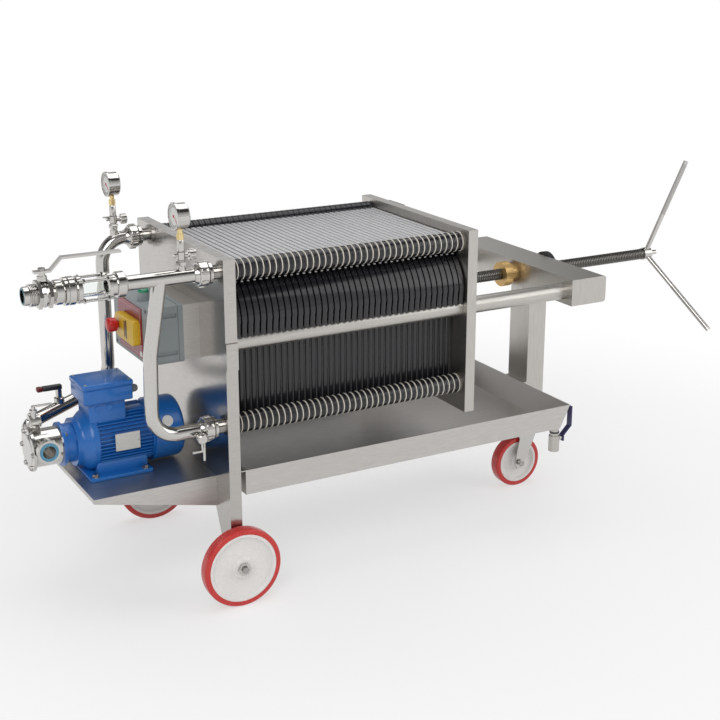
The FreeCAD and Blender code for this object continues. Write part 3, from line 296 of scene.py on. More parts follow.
# For real dark steel parts, and also painted shade in the fan cover's slots and the switch cover's slot.
DARK_METAL_AND_SLOT_SHADE = Finish("dark metal and painted slot shade", (0.07, 0.07, 0.075), (0.04, 0.04, 0.045), 0.6, 0.30, 0.45, (300, 300, 300), 20.0, 0.05)
BLACK_PLATE = Finish("black plate", (0.012, 0.012, 0.015), (0.007, 0.007, 0.009), 0.0, 0.12, 0.22, (500, 500, 200), 12.0,
                     0.04, coat=0.2)
# Pale strips on the black plates' tops: painted reflection of the sky.
PLATE_TOP_REFLECTION = Finish("painted sky reflection on plate tops", (0.55, 0.55, 0.56), (0.44, 0.44, 0.45), 0.0, 0.30, 0.45, (300, 300, 300), 20.0, 0.05)
# The filter sheets between the plates are coloured near black: painted shade in the gaps between the plates.
PLATE_GAP_SHADE = Finish("painted shade in plate gaps", (0.05, 0.05, 0.05), (0.03, 0.03, 0.03), 0.0, 0.6, 0.8, (400, 400, 400), 20.0, 0.1)
GASKET = Finish("white gasket", (0.85, 0.80, 0.72), (0.75, 0.70, 0.62), 0.0, 0.35, 0.5, (400, 400, 400), 20.0, 0.05)
RED_TREAD = Finish("red tread", (0.62, 0.028, 0.022), (0.52, 0.020, 0.018), 0.0, 0.22, 0.34, (250, 250, 250), 15.0, 0.05,
                   coat=0.25)
WHITE_CORE = Finish("white wheel plastic", (0.84, 0.82, 0.80), (0.76, 0.74, 0.72), 0.0, 0.30, 0.42, (250, 250, 250), 15.0,
                    0.04)
MOTOR_BLUE = Finish("motor blue paint", (0.008, 0.145, 0.50), (0.007, 0.118, 0.42), 0.0, 0.28, 0.42, (350, 350, 350), 12.0,
                    0.12, coat=0.3)
BOX_GREY = Finish("grey plastic", (0.30, 0.33, 0.34), (0.25, 0.28, 0.29), 0.0, 0.40, 0.52, (400, 400, 400), 10.0, 0.06)
PANEL_RED = Finish("dark red plastic", (0.28, 0.006, 0.030), (0.22, 0.005, 0.024), 0.0, 0.22, 0.32, (400, 400, 400), 12.0,
                   0.04)
YELLOW = Finish("yellow plastic", (0.78, 0.50, 0.02), (0.70, 0.43, 0.015), 0.0, 0.32, 0.42, (400, 400, 400), 12.0, 0.04)
RED = Finish("red plastic", (0.62, 0.015, 0.012), (0.50, 0.012, 0.010), 0.0, 0.22, 0.32, (400, 400, 400), 12.0, 0.03)
GREEN = Finish("green lens", (0.01, 0.26, 0.13), (0.008, 0.20, 0.10), 0.0, 0.15, 0.25, (400, 400, 400), 12.0, 0.03,
               coat=0.4)
BLUE_GRIP = Finish("blue grip", (0.02, 0.02, 0.10), (0.015, 0.015, 0.08), 0.0, 0.25, 0.35, (400, 400, 400), 12.0, 0.05)
WHITE_FACE = Finish("white dial", (0.82, 0.82, 0.80), (0.78, 0.78, 0.76), 0.0, 0.45, 0.55, (300, 300, 300), 10.0, 0.02)
INK = Finish("black ink", (0.02, 0.02, 0.02), (0.03, 0.03, 0.03), 0.0, 0.5, 0.6, (300, 300, 300), 10.0, 0.0)
RED_INK = Finish("red ink", (0.55, 0.02, 0.02), (0.50, 0.02, 0.02), 0.0, 0.5, 0.6, (300, 300, 300), 10.0, 0.0)
BARE_LABEL = Finish("bare label", (0.78, 0.78, 0.76), (0.70, 0.70, 0.68), 0.0, 0.40, 0.5, (300, 300, 300), 10.0, 0.02)
PALE_LINE = Finish("pale line", (0.70, 0.42, 0.45), (0.66, 0.38, 0.41), 0.0, 0.4, 0.5, (300, 300, 300), 10.0, 0.0)
BOLT_STEEL = Finish("bolt steel", (0.46, 0.45, 0.44), (0.34, 0.33, 0.32), 1.0, 0.24, 0.36, (500, 500, 500), 30.0, 0.04)
SLEEVE_STEEL = Finish("ridged steel", (0.42, 0.41, 0.40), (0.30, 0.29, 0.28), 1.0, 0.30, 0.42, (500, 500, 500), 30.0, 0.05)
SEAL_BLUE = Finish("blue green seal", (0.02, 0.22, 0.27), (0.015, 0.16, 0.20), 0.0, 0.3, 0.4, (300, 300, 300), 20.0, 0.03)
PORT_BLUE = Finish("pale blue seal", (0.10, 0.30, 0.44), (0.08, 0.25, 0.37), 0.0, 0.3, 0.4, (300, 300, 300), 20.0, 0.03)
GLAND_GREY = Finish("gland grey", (0.22, 0.23, 0.24), (0.17, 0.18, 0.19), 0.0, 0.35, 0.45, (300, 300, 300), 20.0, 0.04)
RATING_PLATE = Finish("bare rating plate", (0.60, 0.59, 0.57), (0.52, 0.51, 0.49), 0.6, 0.35, 0.45, (30, 600, 600), 20.0, 0.03)
DARK_RED = Finish("dark red grip", (0.16, 0.012, 0.014), (0.12, 0.010, 0.011), 0.0, 0.3, 0.4, (300, 300, 300), 20.0, 0.03)
# A darkened copy of the yellow: painted shade in the switch cover's recess.
RECESS_SHADE = Finish("painted shade in yellow recess", (0.28, 0.17, 0.05), (0.20, 0.12, 0.04), 0.0, 0.5, 0.6, (300, 300, 300), 20.0, 0.03)
GLASS = GlassFinish("clear glass", (0.95, 0.97, 0.96))

NODE_FINISHES: dict[str, Finish | GlassFinish] = {
    "head_plate": POLISHED, "tie_bars": BRUSHED, "crossbeam": BRUSHED_UP, "rear_post": BRUSHED_UP, "drip_tray": SHEET,
    "drain_valve": BRUSHED_UP, "drain_lever": BLUE_GRIP, "pump_shelf": SHEET, "wheel_core_near": WHITE_CORE,
    "wheel_tread_near": RED_TREAD, "wheel_core_far": WHITE_CORE, "wheel_tread_far": RED_TREAD, "stub_axles": BRIGHT,
    "caster_mount": BRUSHED, "caster_fork": BRIGHT, "caster_core": WHITE_CORE, "caster_tread": RED_TREAD,
    "filter_plates": BLACK_PLATE, "filter_sheets": PLATE_GAP_SHADE, "movable_plate": BRUSHED_UP, "screw": THREAD,
    "handle": BRIGHT, "screw_nut": BRONZE, "nut_flange": DARK_METAL_AND_SLOT_SHADE, "outlet_pipe": BRIGHT, "feed_pipe": BRIGHT,
    "pipe_unions": BRIGHT, "sight_frame": BRIGHT, "sight_glass": GLASS, "outlet_valve": BRIGHT,
    "outlet_lever": BRIGHT, "sample_cocks": BRIGHT, "gauge_stems": BRASS, "gauge_cases": BRIGHT,
    "control_box": BOX_GREY, "box_bracket": SHEET, "switch_plate": PANEL_RED, "switch_cover": YELLOW,
    "stop_button": RED, "lamp_boss": BOX_GREY, "start_lamp": GREEN, "fan_cover": MOTOR_BLUE,
    "motor_housing": MOTOR_BLUE, "motor_flange": MOTOR_BLUE, "terminal_box": MOTOR_BLUE, "pump_body": BRIGHT,
    "pump_cover": BRIGHT,
}


# ---------------------------------------------------------------- making and settling pieces


def frame_along(direction: Vector) -> Matrix:
    """A rotation that takes +Z to a direction."""
    return direction.to_track_quat("Z", "Y").to_matrix()


def new_piece(name: str, vertices: Sequence[Vector], faces: Sequence[Sequence[int]], smooth: bool = True) -> bpy.types.Object:
    """An object at the origin with a mesh of its own.

    Args:
        name: the piece's name.
        vertices: its points.
        faces: its faces as lists of point numbers.
        smooth: whether faces that meet at a shallow angle are shaded smooth.

    Returns:
        The new object.
    """
    mesh = bpy.data.meshes.new(name)
    mesh.from_pydata([tuple(point) for point in vertices], [], [tuple(face) for face in faces])
    piece = bpy.data.objects.new(name, mesh)
    bpy.context.scene.collection.objects.link(piece)
    tidy(piece, smooth)
    return piece


def tidy(piece: bpy.types.Object, smooth: bool = True) -> None:
    """Merge a piece's doubles, point its faces outwards and shade it."""
    mesh = piece.data
    work = bmesh.new()
    work.from_mesh(mesh)
    bmesh.ops.remove_doubles(work, verts=work.verts, dist=1e-6)
    bmesh.ops.recalc_face_normals(work, faces=work.faces)
    work.to_mesh(mesh)
    work.free()
    if smooth:
        mesh.shade_smooth()
        mesh.set_sharp_from_angle(angle=math.radians(35))


def lathe(name: str, profile: Sequence[tuple[float, float]], origin: Vector, axis: Axis, steps: int = ROUND,
          ring: bool = False) -> bpy.types.Object:
    """A solid of revolution.

    Args:
        name: the piece's name.
        profile: pairs of place along the axis and radius, from one end to the other.
        origin: where the axis starts.
        axis: the way the axis runs.
        steps: how many faces go round.
        ring: whether the profile closes on itself, as for a tube, and has no end faces.

    Returns:
        The new object.
    """
    turn = frame_along(axis.value)
    rings: list[list[int]] = []
    vertices: list[Vector] = []
    for along, radius in profile:
        ring = []
        if radius < 1e-7:
            ring = [len(vertices)] * steps
            vertices.append(origin + turn @ Vector((0, 0, along)))
        else:
            for step in range(steps):
                angle = 2 * math.pi * step / steps
                ring.append(len(vertices))
                vertices.append(origin + turn @ Vector((radius * math.cos(angle), radius * math.sin(angle), along)))
        rings.append(ring)
    faces: list[list[int]] = []
    if ring:
        rings.append(rings[0])
    for first, second in zip(rings, rings[1:]):
        for step in range(steps):
            after = (step + 1) % steps
            corners = [first[step], first[after], second[after], second[step]]
            faces.append(list(dict.fromkeys(corners)))
    faces = [face for face in faces if len(face) > 2]
    for end in () if ring else (rings[0], rings[-1]):
        if end[0] != end[1]:
            faces.append(end)
    return new_piece(name, vertices, faces)


def slab(name: str, low: Vector, high: Vector, edge: float = 0.0, segments: int = 2) -> bpy.types.Object:
    """A box between two corners, its edges rounded."""
    work = bmesh.new()
    bmesh.ops.create_cube(work, size=1.0)
    size = high - low
    centre = (high + low) / 2
    for vertex in work.verts:
        vertex.co = Vector((vertex.co.x * size.x, vertex.co.y * size.y, vertex.co.z * size.z)) + centre
    if edge > 0:
        bmesh.ops.bevel(work, geom=list(work.edges), offset=edge, segments=segments, profile=0.5, affect="EDGES")
    mesh = bpy.data.meshes.new(name)
    work.to_mesh(mesh)
    work.free()
    piece = bpy.data.objects.new(name, mesh)
    bpy.context.scene.collection.objects.link(piece)
    tidy(piece)
    return piece


def prism(name: str, outline: Sequence[tuple[float, float]], start: Vector, across: Axis, up: Axis, depth: float,
          edge: float = 0.0, segments: int = 2) -> bpy.types.Object:
    """An outline given depth, the rims of both ends rounded.

    Args:
        name: the piece's name.
        outline: pairs of place along across and up.
        start: where the outline's own origin lies.
        across: the outline's first axis.
        up: the outline's second axis.
        depth: how far it reaches along across x up.
        edge: the radius of its rims.
        segments: how many faces round each rim off.

    Returns:
        The new object.
    """
    deep = across.value.cross(up.value)
    work = bmesh.new()
    front = [work.verts.new(start + across.value * u + up.value * v) for u, v in outline]
    back = [work.verts.new(start + across.value * u + up.value * v + deep * depth) for u, v in outline]
    count = len(front)
    work.faces.new(list(reversed(front)))
    work.faces.new(back)
    for index in range(count):
        after = (index + 1) % count
        work.faces.new([front[index], front[after], back[after], back[index]])
    if edge > 0:
        rims = [item for item in work.edges if abs((item.verts[0].co - item.verts[1].co).dot(deep)) < 1e-7]
        bmesh.ops.bevel(work, geom=rims, offset=edge, segments=segments, profile=0.5, affect="EDGES")
    mesh = bpy.data.meshes.new(name)
    work.to_mesh(mesh)
    work.free()
    piece = bpy.data.objects.new(name, mesh)
    bpy.context.scene.collection.objects.link(piece)
    tidy(piece)
    return piece


def joined(name: str, pieces: Sequence[bpy.types.Object]) -> bpy.types.Object:
    """One piece of several."""
    work = bmesh.new()
    for piece in pieces:
        work.from_mesh(piece.data)
    mesh = bpy.data.meshes.new(name)
    work.to_mesh(mesh)
    work.free()
    whole = bpy.data.objects.new(name, mesh)
    bpy.context.scene.collection.objects.link(whole)
    for piece in pieces:
        old = piece.data
        bpy.data.objects.remove(piece)
        bpy.data.meshes.remove(old)
    mesh.shade_smooth()
    mesh.set_sharp_from_angle(angle=math.radians(35))
    return whole


def build_repeat_tree() -> bpy.types.GeometryNodeTree:
    """The tree that sets copies of a shape in a row or round a centre.

    Returns:
        A tree with inputs Count, Step, Turn, Centre and Finish.
    """
    tree = bpy.data.node_groups.new("Repeat", "GeometryNodeTree")
    for label, kind in (
        ("Geometry", "NodeSocketGeometry"),
        ("Count", "NodeSocketInt"),
        ("Step", "NodeSocketVector"),
        ("Turn", "NodeSocketVector"),
        ("Centre", "NodeSocketVector"),
        ("Finish", "NodeSocketMaterial"),
    ):
        tree.interface.new_socket(label, in_out="INPUT", socket_type=kind)
    tree.interface.new_socket("Geometry", in_out="OUTPUT", socket_type="NodeSocketGeometry")
    nodes, links = tree.nodes, tree.links
    given = nodes.new("NodeGroupInput")
    result = nodes.new("NodeGroupOutput")
    back = nodes.new("ShaderNodeVectorMath")
    back.operation = "SCALE"
    back.inputs["Scale"].default_value = -1.0
    links.new(given.outputs["Centre"], back.inputs[0])
    shift = nodes.new("GeometryNodeTransform")
    links.new(given.outputs["Geometry"], shift.inputs["Geometry"])
    links.new(back.outputs["Vector"], shift.inputs["Translation"])
    line = nodes.new("GeometryNodeMeshLine")
    links.new(given.outputs["Count"], line.inputs["Count"])
    line.inputs["Offset"].default_value = (0, 0, 0)
    index = nodes.new("GeometryNodeInputIndex")
    march = nodes.new("ShaderNodeVectorMath")
    march.operation = "SCALE"
    links.new(given.outputs["Step"], march.inputs[0])
    links.new(index.outputs["Index"], march.inputs["Scale"])
    place = nodes.new("ShaderNodeVectorMath")
    place.operation = "ADD"
    links.new(march.outputs["Vector"], place.inputs[0])
    links.new(given.outputs["Centre"], place.inputs[1])
    spots = nodes.new("GeometryNodeSetPosition")
    links.new(line.outputs["Mesh"], spots.inputs["Geometry"])
    links.new(place.outputs["Vector"], spots.inputs["Position"])
    spin = nodes.new("ShaderNodeVectorMath")
    spin.operation = "SCALE"
    links.new(given.outputs["Turn"], spin.inputs[0])
    links.new(index.outputs["Index"], spin.inputs["Scale"])
    copies = nodes.new("GeometryNodeInstanceOnPoints")
    links.new(spots.outputs["Geometry"], copies.inputs["Points"])
    links.new(shift.outputs["Geometry"], copies.inputs["Instance"])
    links.new(spin.outputs["Vector"], copies.inputs["Rotation"])
    real = nodes.new("GeometryNodeRealizeInstances")
    links.new(copies.outputs["Instances"], real.inputs["Geometry"])
    paint = nodes.new("GeometryNodeSetMaterial")
    links.new(real.outputs["Geometry"], paint.inputs["Geometry"])
    links.new(given.outputs["Finish"], paint.inputs["Material"])
    links.new(paint.outputs["Geometry"], result.inputs["Geometry"])
    return tree


REPEAT = build_repeat_tree()
NOWHERE = Vector((0, 0, 0))


def repeat(piece: bpy.types.Object, finish: Finish, count: int, step: Vector = NOWHERE, turn: Vector = NOWHERE,
           centre: Vector = NOWHERE) -> bpy.types.Object:
    """Turn one shape into a row or a ring of copies.

    Args:
        piece: the shape, which becomes the first copy.
        finish: what the copies are made of.
        count: how many copies there are.
        step: how far on each copy is.
        turn: how far each copy is turned about the centre, in radians about X, Y and Z.
        centre: the point that copies turn about.

    Returns:
        The same object with all copies in a plain mesh.
    """
    modifier = piece.modifiers.new("Repeat", "NODES")
    modifier.node_group = REPEAT
    values = {"Count": count, "Step": step, "Turn": turn, "Centre": centre, "Finish": finish.material()}
    for item in REPEAT.interface.items_tree:
        if item.in_out == "INPUT" and item.name in values:
            modifier[item.identifier] = values[item.name]
    bpy.context.view_layer.update()
    depsgraph = bpy.context.evaluated_depsgraph_get()
    mesh = bpy.data.meshes.new_from_object(piece.evaluated_get(depsgraph), depsgraph=depsgraph)
    piece.modifiers.remove(modifier)
    piece.data = mesh
    return piece


def settle(piece: bpy.types.Object, body: Body, finish: Finish | GlassFinish, replaces: Iterable[str] = ()) -> bpy.types.Object:
    """Dress a piece, hang it on the empty of the body that it rides on, and hide the model's nodes that it stands for.

    Args:
        piece: the finished object.
        body: the body that it rides on.
        finish: its finish.
        replaces: the model's nodes that it stands for.

    Returns:
        The same object.
    """
    if not piece.data.materials:
        piece.data.materials.append(finish.material())
    else:
        for index in range(len(piece.data.materials)):
            piece.data.materials[index] = finish.material()
    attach(piece, body.value)
    nodes = list(replaces)
    if nodes:
        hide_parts(*nodes)
    log.info("%s on %s", piece.name, body.value)
    return piece


def dress_nodes() -> None:
    """Give each node of the model its finish."""
    for name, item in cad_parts.items():
        finish = NODE_FINISHES[name]
        item.data.materials.clear()
        item.data.materials.append(finish.material())


# ---------------------------------------------------------------- sub-assemblies


@dataclass
class PlatePack:
    """The black plates with their rings and hooks, and pale strips on their tops as painted reflection of the sky."""

    plates: Span = field(default_factory=lambda: Span.of("filter_plates"))
    sheets: Span = field(default_factory=lambda: Span.of("filter_sheets"))
    count: int = 39
    plate_side: float = 400 * MM
    ring_radius: float = 24.7 * MM
    port_reach: float = 227 * MM
    port_height: float = 188 * MM
    top_edge: float = 1.0 * MM

    @property
    def pitch(self) -> float:
        """From one plate to the next."""
        return (self.plates.size.x - self.thickness) / (self.count - 1)

    @property
    def thickness(self) -> float:
        """How thick one plate is."""
        return 12.4 * MM

    @property
    def middle(self) -> float:
        """The height of the plates' middle."""
        return self.sheets.centre.z

    def hook(self, side: int) -> bpy.types.Object:
        """The curved hook of a plate over a tie bar."""
        low = self.middle + 33 * MM
        top = self.middle + 155 * MM
        inner = self.plate_side / 2 - 6 * MM
        reach = 262 * MM
        waist = 214 * MM
        outline = [(inner, top), (inner, low), (reach, low)]
        for step in range(15):
            share = step / 14
            height = low + (top - low) * (0.30 + 0.70 * share)
            width = waist + (reach - waist) * math.cos(share * math.pi / 2) ** 0.8
            outline.append((width, height))
        points = [(side * u, v) for u, v in outline]
        if side < 0:
            points.reverse()
        start = Vector((self.plates.low.x, 0, 0))
        return prism("hook", points, start, Axis.Y, Axis.Z, self.thickness, 5.0 * MM, 3)

    def plate(self) -> bpy.types.Object:
        """One plate: its field, four rings and two hooks."""
        x = self.plates.low.x
        half = self.plate_side / 2
        parts = [
            slab("field", Vector((x, -half, self.middle - half)),
                 Vector((x + self.thickness, half, self.middle + half - self.top_edge)), 4.2 * MM, 3),
            self.hook(-1),
            self.hook(1),
        ]
        groove = 1.0 * MM
        radius = self.ring_radius
        mid = self.thickness / 2
        profile = [(0, 0), (0, radius - 1.6 * MM), (1.2 * MM, radius), (mid - groove, radius),
                   (mid, radius - groove), (mid + groove, radius), (self.thickness - 1.2 * MM, radius),
                   (self.thickness, radius - 1.6 * MM), (self.thickness, 0)]
        for side in (-1, 1):
            for up in (-1, 1):
                centre = Vector((x, side * self.port_reach, self.middle + up * self.port_height))
                parts.append(lathe("ring", profile, centre, Axis.X, 32))
                low = Vector((x + 1 * MM, min(side * self.port_reach, side * (half - 6 * MM)),
                              centre.z - 10 * MM))
                high = Vector((x + self.thickness - 1 * MM, max(side * self.port_reach, side * (half - 6 * MM)),
                               centre.z + 10 * MM))
                parts.append(slab("neck", low, high, 1.5 * MM, 1))
        return joined("plates", parts)

    def build(self) -> None:
        """All plates, pale top strips as painted reflection of the sky, gaskets and hook marks."""
        step = Vector((self.pitch, 0, 0))
        x = self.plates.low.x
        half = self.plate_side / 2
        top = self.middle + half
        plates = repeat(self.plate(), BLACK_PLATE, self.count, step)
        settle(plates, Body.PRESS, BLACK_PLATE, ["filter_plates"])
        # Pale strips along the plates' tops: painted reflection of the sky.
        edge = slab("plate_top_reflections", Vector((x + 0.4 * MM, -half + 4 * MM, top - 5 * MM)),
                    Vector((x + self.thickness - 0.4 * MM, half - 4 * MM, top)), 1.2 * MM, 2)
        settle(repeat(edge, PLATE_TOP_REFLECTION, self.count, step), Body.PRESS, PLATE_TOP_REFLECTION)
        gap = self.pitch - self.thickness
        for side, finish, name in ((-1, GASKET, "near"), (1, BLACK_PLATE, "far")):
            rings = []
            for up in (-1, 1):
                centre = Vector((self.sheets.low.x + gap / 2 - 1.1 * MM, side * self.port_reach,
                                 self.middle + up * self.port_height))
                radius = self.ring_radius + (0.5 * MM if side < 0 else -1.5 * MM)
                profile = [(0, radius - 3 * MM), (0, radius - 0.6 * MM), (0.6 * MM, radius), (1.6 * MM, radius),
                           (2.2 * MM, radius - 0.6 * MM), (2.2 * MM, radius - 3 * MM)]
                rings.append(lathe("gasket", profile, centre, Axis.X, 40, True))
            gasket = repeat(joined("gaskets_" + name, rings), finish, self.count + 1, step)
            settle(gasket, Body.PRESS, finish)
        # Small pale patches on each hook, just under its upper eyelet.
        marks = []
        for side in (-1, 1):
            y = side * 214 * MM
            z = self.middle + 155 * MM
            marks.append(slab("mark", Vector((x + 3 * MM, y - 2.5 * MM, z - 2 * MM)),
                              Vector((x + 9 * MM, y + 2.5 * MM, z + 1.2 * MM)), 0.8 * MM, 1))
        settle(repeat(joined("hook_marks", marks), BARE_LABEL, self.count, step), Body.PRESS, BARE_LABEL)


@dataclass
class ScrewThread:
    """The screw with its real thread and smooth tip."""

    span: Span = field(default_factory=lambda: Span.of("screw"))
    lead: float = 6 * MM
    depth: float = 2.2 * MM
    tip_length: float = 20 * MM
    steps: int = 28

    def build(self) -> None:
        """The threaded rod, in the place of the plain one."""
        radius = self.span.size.z / 2
        start = self.span.low.x + self.tip_length
        centre = self.span.centre
        rows = int((self.span.high.x - start) / self.lead * self.steps)
        vertices: list[Vector] = []
        faces: list[list[int]] = []
        shape = [(0.0, 1.0), (0.30, 1.0), (0.52, 0.0), (0.78, 0.0), (1.0, 1.0)]
        for row in range(rows + 1):
            angle = 2 * math.pi * row / self.steps
            x = start + self.lead * row / self.steps
            for share, height in shape:
                along = min(x + share * self.lead, self.span.high.x)
                reach = radius - self.depth * (1 - height)
                vertices.append(Vector((along, centre.y + reach * math.cos(angle), centre.z + reach * math.sin(angle))))
        size = len(shape)
        for row in range(rows):
            for step in range(size - 1):
                first = row * size + step
                faces.append([first, first + 1, first + 1 + size, first + size])
        thread = new_piece("screw_thread", vertices, faces)
        tip = lathe("tip", [(0, 0), (0, 10 * MM), (1 * MM, 11 * MM), (self.tip_length, 11 * MM), (self.tip_length, radius - self.depth),
                            (self.span.size.x, radius - self.depth), (self.span.size.x, 0)],
                    Vector((self.span.low.x, centre.y, centre.z)), Axis.X)
        settle(joined("screw_thread", [thread, tip]), Body.SCREW, THREAD, ["screw"])


@dataclass
class Wheel:
    """A wheel with a red tread round a white dished core."""

    name: str
    body: Body
    tread: str
    core: str
    boss_radius: float
    bore_radius: float

    def build(self) -> None:
        """Tread and core, in the place of the plain ones."""
        tread = Span.of(self.tread)
        core = Span.of(self.core)
        radius = tread.size.z / 2
        half = tread.size.y / 2
        centre = tread.centre
        origin = Vector((centre.x, centre.y, centre.z))
        rim = radius - 13 * MM
        profile = [(-half, rim - 0.2 * MM), (-half, radius - 5 * MM)]
        for step in range(7):
            angle = math.pi / 2 * step / 6
            profile.append((-half + 5 * MM * (1 - math.cos(angle)), radius - 5 * MM + 5 * MM * math.sin(angle)))
        profile += [(-u, v) for u, v in reversed(profile)]
        settle(lathe(self.name + "_tread", profile, origin, Axis.Y, 72, True), self.body, RED_TREAD, [self.tread])
        low = core.low.y - centre.y
        high = core.high.y - centre.y
        inner = rim - 9 * MM
        web = half * 0.42
        profile = [(low, self.bore_radius), (low, self.boss_radius - 2.5 * MM), (low + 2.5 * MM, self.boss_radius),
                   (-web - 2 * MM, self.boss_radius + 2 * MM), (-web, self.boss_radius + 7 * MM),
                   (-web, inner - 7 * MM), (-web - 2 * MM, inner - 2 * MM), (-half + 2 * MM, inner), (-half, inner + 2 * MM),
                   (-half, rim - 1 * MM), (-half + 1 * MM, rim), (half - 1 * MM, rim), (half, rim - 1 * MM),
                   (half, inner + 2 * MM), (half - 2 * MM, inner), (web + 2 * MM, inner - 2 * MM),
                   (web, inner - 7 * MM), (web, self.boss_radius + 7 * MM), (web + 2 * MM, self.boss_radius + 2 * MM),
                   (high - 2.5 * MM, self.boss_radius), (high, self.boss_radius - 2.5 * MM), (high, self.bore_radius)]
        settle(lathe(self.name + "_core", profile, origin, Axis.Y, 72, True), self.body, WHITE_CORE, [self.core])


@dataclass
class Gauge:
    """A pressure gauge's case, dial, marks and needle, facing the pump end."""

    name: str
    centre: Vector
    radius: float = 31.5 * MM
    depth: float = 32 * MM

    def build(self) -> bpy.types.Object:
        """The dial with its marks and needle; returns the case."""
        front = self.centre + Vector((-self.depth / 2, 0, 0))
        rim = 3 * MM
        well = 3 * MM
        case = lathe(self.name + "_case", [
            (well, 0), (well, self.radius - rim), (0, self.radius - rim), (0, self.radius - 0.8 * MM),
            (0.8 * MM, self.radius), (6 * MM, self.radius), (7 * MM, self.radius - 2 * MM),
            (self.depth - 3 * MM, self.radius - 2 * MM), (self.depth, self.radius - 5 * MM), (self.depth, 0),
        ], front, Axis.X)
        face = lathe(self.name + "_dial", [(2.6 * MM, 0), (2.6 * MM, self.radius - rim - 0.2 * MM),
                                           (2.9 * MM, self.radius - rim - 0.2 * MM), (2.9 * MM, 0)], front, Axis.X)
        settle(face, Body.PRESS, WHITE_FACE)
        mark = slab(self.name + "_marks", front + Vector((2.2 * MM, -0.5 * MM, 20.5 * MM)),
                    front + Vector((2.6 * MM, 0.5 * MM, 25 * MM)))
        ring = repeat(mark, INK, 21, turn=Vector((math.radians(13.5), 0, 0)), centre=front + Vector((2.4 * MM, 0, 0)))
        for vertex in ring.data.vertices:
            offset = vertex.co - front
            spun = Matrix.Rotation(math.radians(135), 3, "X") @ offset
            vertex.co = front + spun
        settle(ring, Body.PRESS, INK)
        needle = slab(self.name + "_needle", front + Vector((1.7 * MM, -0.6 * MM, -5 * MM)),
                      front + Vector((2.1 * MM, 0.6 * MM, 21 * MM)))
        for vertex in needle.data.vertices:
            offset = vertex.co - front
            vertex.co = front + Matrix.Rotation(math.radians(125), 3, "X") @ offset
        hub = lathe(self.name + "_pin", [(1.2 * MM, 0), (1.2 * MM, 2.5 * MM), (2.6 * MM, 2.8 * MM)], front, Axis.X, 16)
        settle(joined(self.name + "_needle", [needle, hub]), Body.PRESS, RED_INK)
        return case


@dataclass
class Gauges:
    """Both pressure gauges."""

    span: Span = field(default_factory=lambda: Span.of("gauge_cases"))

    def build(self) -> None:
        """Cases, dials, marks and needles."""
        cases = []
        radius = self.span.size.z / 2
        for name, y in (("near_gauge", self.span.low.y + radius), ("far_gauge", self.span.high.y - radius)):
            centre = Vector((self.span.centre.x, y, self.span.centre.z))
            cases.append(Gauge(name, centre).build())
        settle(joined("gauge_bodies", cases), Body.PRESS, BRIGHT, ["gauge_cases"])


def hexagon(name: str, place: Vector, axis: Axis, radius: float, height: float) -> bpy.types.Object:
    """A six-sided nut or bolt head with a chamfered top."""
    chamfer = 0.12 * radius
    return lathe(name, [(0, 0), (0, radius), (height - chamfer, radius), (height, radius - chamfer), (height, 0)],
                 place, axis, 6)


def bolt(place: Vector, axis: Axis, radius: float = 6 * MM) -> list[bpy.types.Object]:
    """A bolt head on its washer.

    Args:
        place: the middle of the washer's seat.
        axis: the way the head points.
        radius: the head's radius over its corners.

    Returns:
        The washer and the head.
    """
    washer = 1.2 * MM
    rim = radius * 1.25
    seat = lathe("washer", [(0, 0), (0, rim), (washer * 0.7, rim), (washer, rim * 0.95), (washer, 0)], place, axis, 24)
    return [seat, hexagon("head", place + axis.value * washer, axis, radius, radius * 0.75)]


@dataclass
class Bolts:
    """A set of bolts on one body."""

    name: str
    places: list[tuple[float, float, float]]
    axis: Axis
    radius: float = 6 * MM
    body: Body = Body.PRESS
    slot: str = "bright_steel"

    def build(self) -> None:
        """All bolts of the set as one piece."""
        parts = [part for place in self.places for part in bolt(Vector(place), self.axis, self.radius)]
        settle(joined(self.name, parts), self.body, BOLT_STEEL)


@dataclass
class RingNuts:
    """The slotted ring nuts that join the pipes to the head's ports."""

    span: Span = field(default_factory=lambda: Span.of("pipe_unions"))
    pipe_radius: float = 17 * MM
    nut_radius: float = 31 * MM
    lug_count: int = 6

    def one(self, y: float, z: float) -> list[bpy.types.Object]:
        """One ring nut between its collars; its axis runs along X."""
        start = Vector((self.span.high.x, y, z))
        inner, outer = self.pipe_radius, self.nut_radius
        length = self.span.size.x
        profile = [(0, inner), (0, 25 * MM), (1 * MM, 26 * MM), (8 * MM, 26 * MM), (9 * MM, 23 * MM), (11 * MM, 23 * MM),
                   (11 * MM, outer - 3 * MM), (12 * MM, outer - 2 * MM), (31 * MM, outer - 2 * MM),
                   (33 * MM, outer - 4 * MM), (33 * MM, 24 * MM), (length - 5 * MM, 21 * MM), (length, 19 * MM),
                   (length, inner)]
        nut = lathe("nut", profile, start, Axis.MINUS_X, 48, True)
        lug = slab("lug", start + Vector((-30 * MM, -5 * MM, outer - 4 * MM)),
                   start + Vector((-13 * MM, 5 * MM, outer + 1 * MM)), 1.4 * MM)
        lugs = repeat(lug, BRIGHT, self.lug_count, turn=Vector((2 * math.pi / self.lug_count, 0, 0)), centre=start)
        return [nut, lugs]

    def build(self) -> None:
        """The three ring nuts, in the place of the plain ones."""
        near, far = self.span.low.y + 32 * MM, self.span.high.y - 32 * MM
        low, high = self.span.low.z + 32 * MM, self.span.high.z - 32 * MM
        parts = self.one(near, high) + self.one(near, low) + self.one(far, high)
        settle(joined("ring_nuts", parts), Body.PRESS, BRIGHT, ["pipe_unions"])


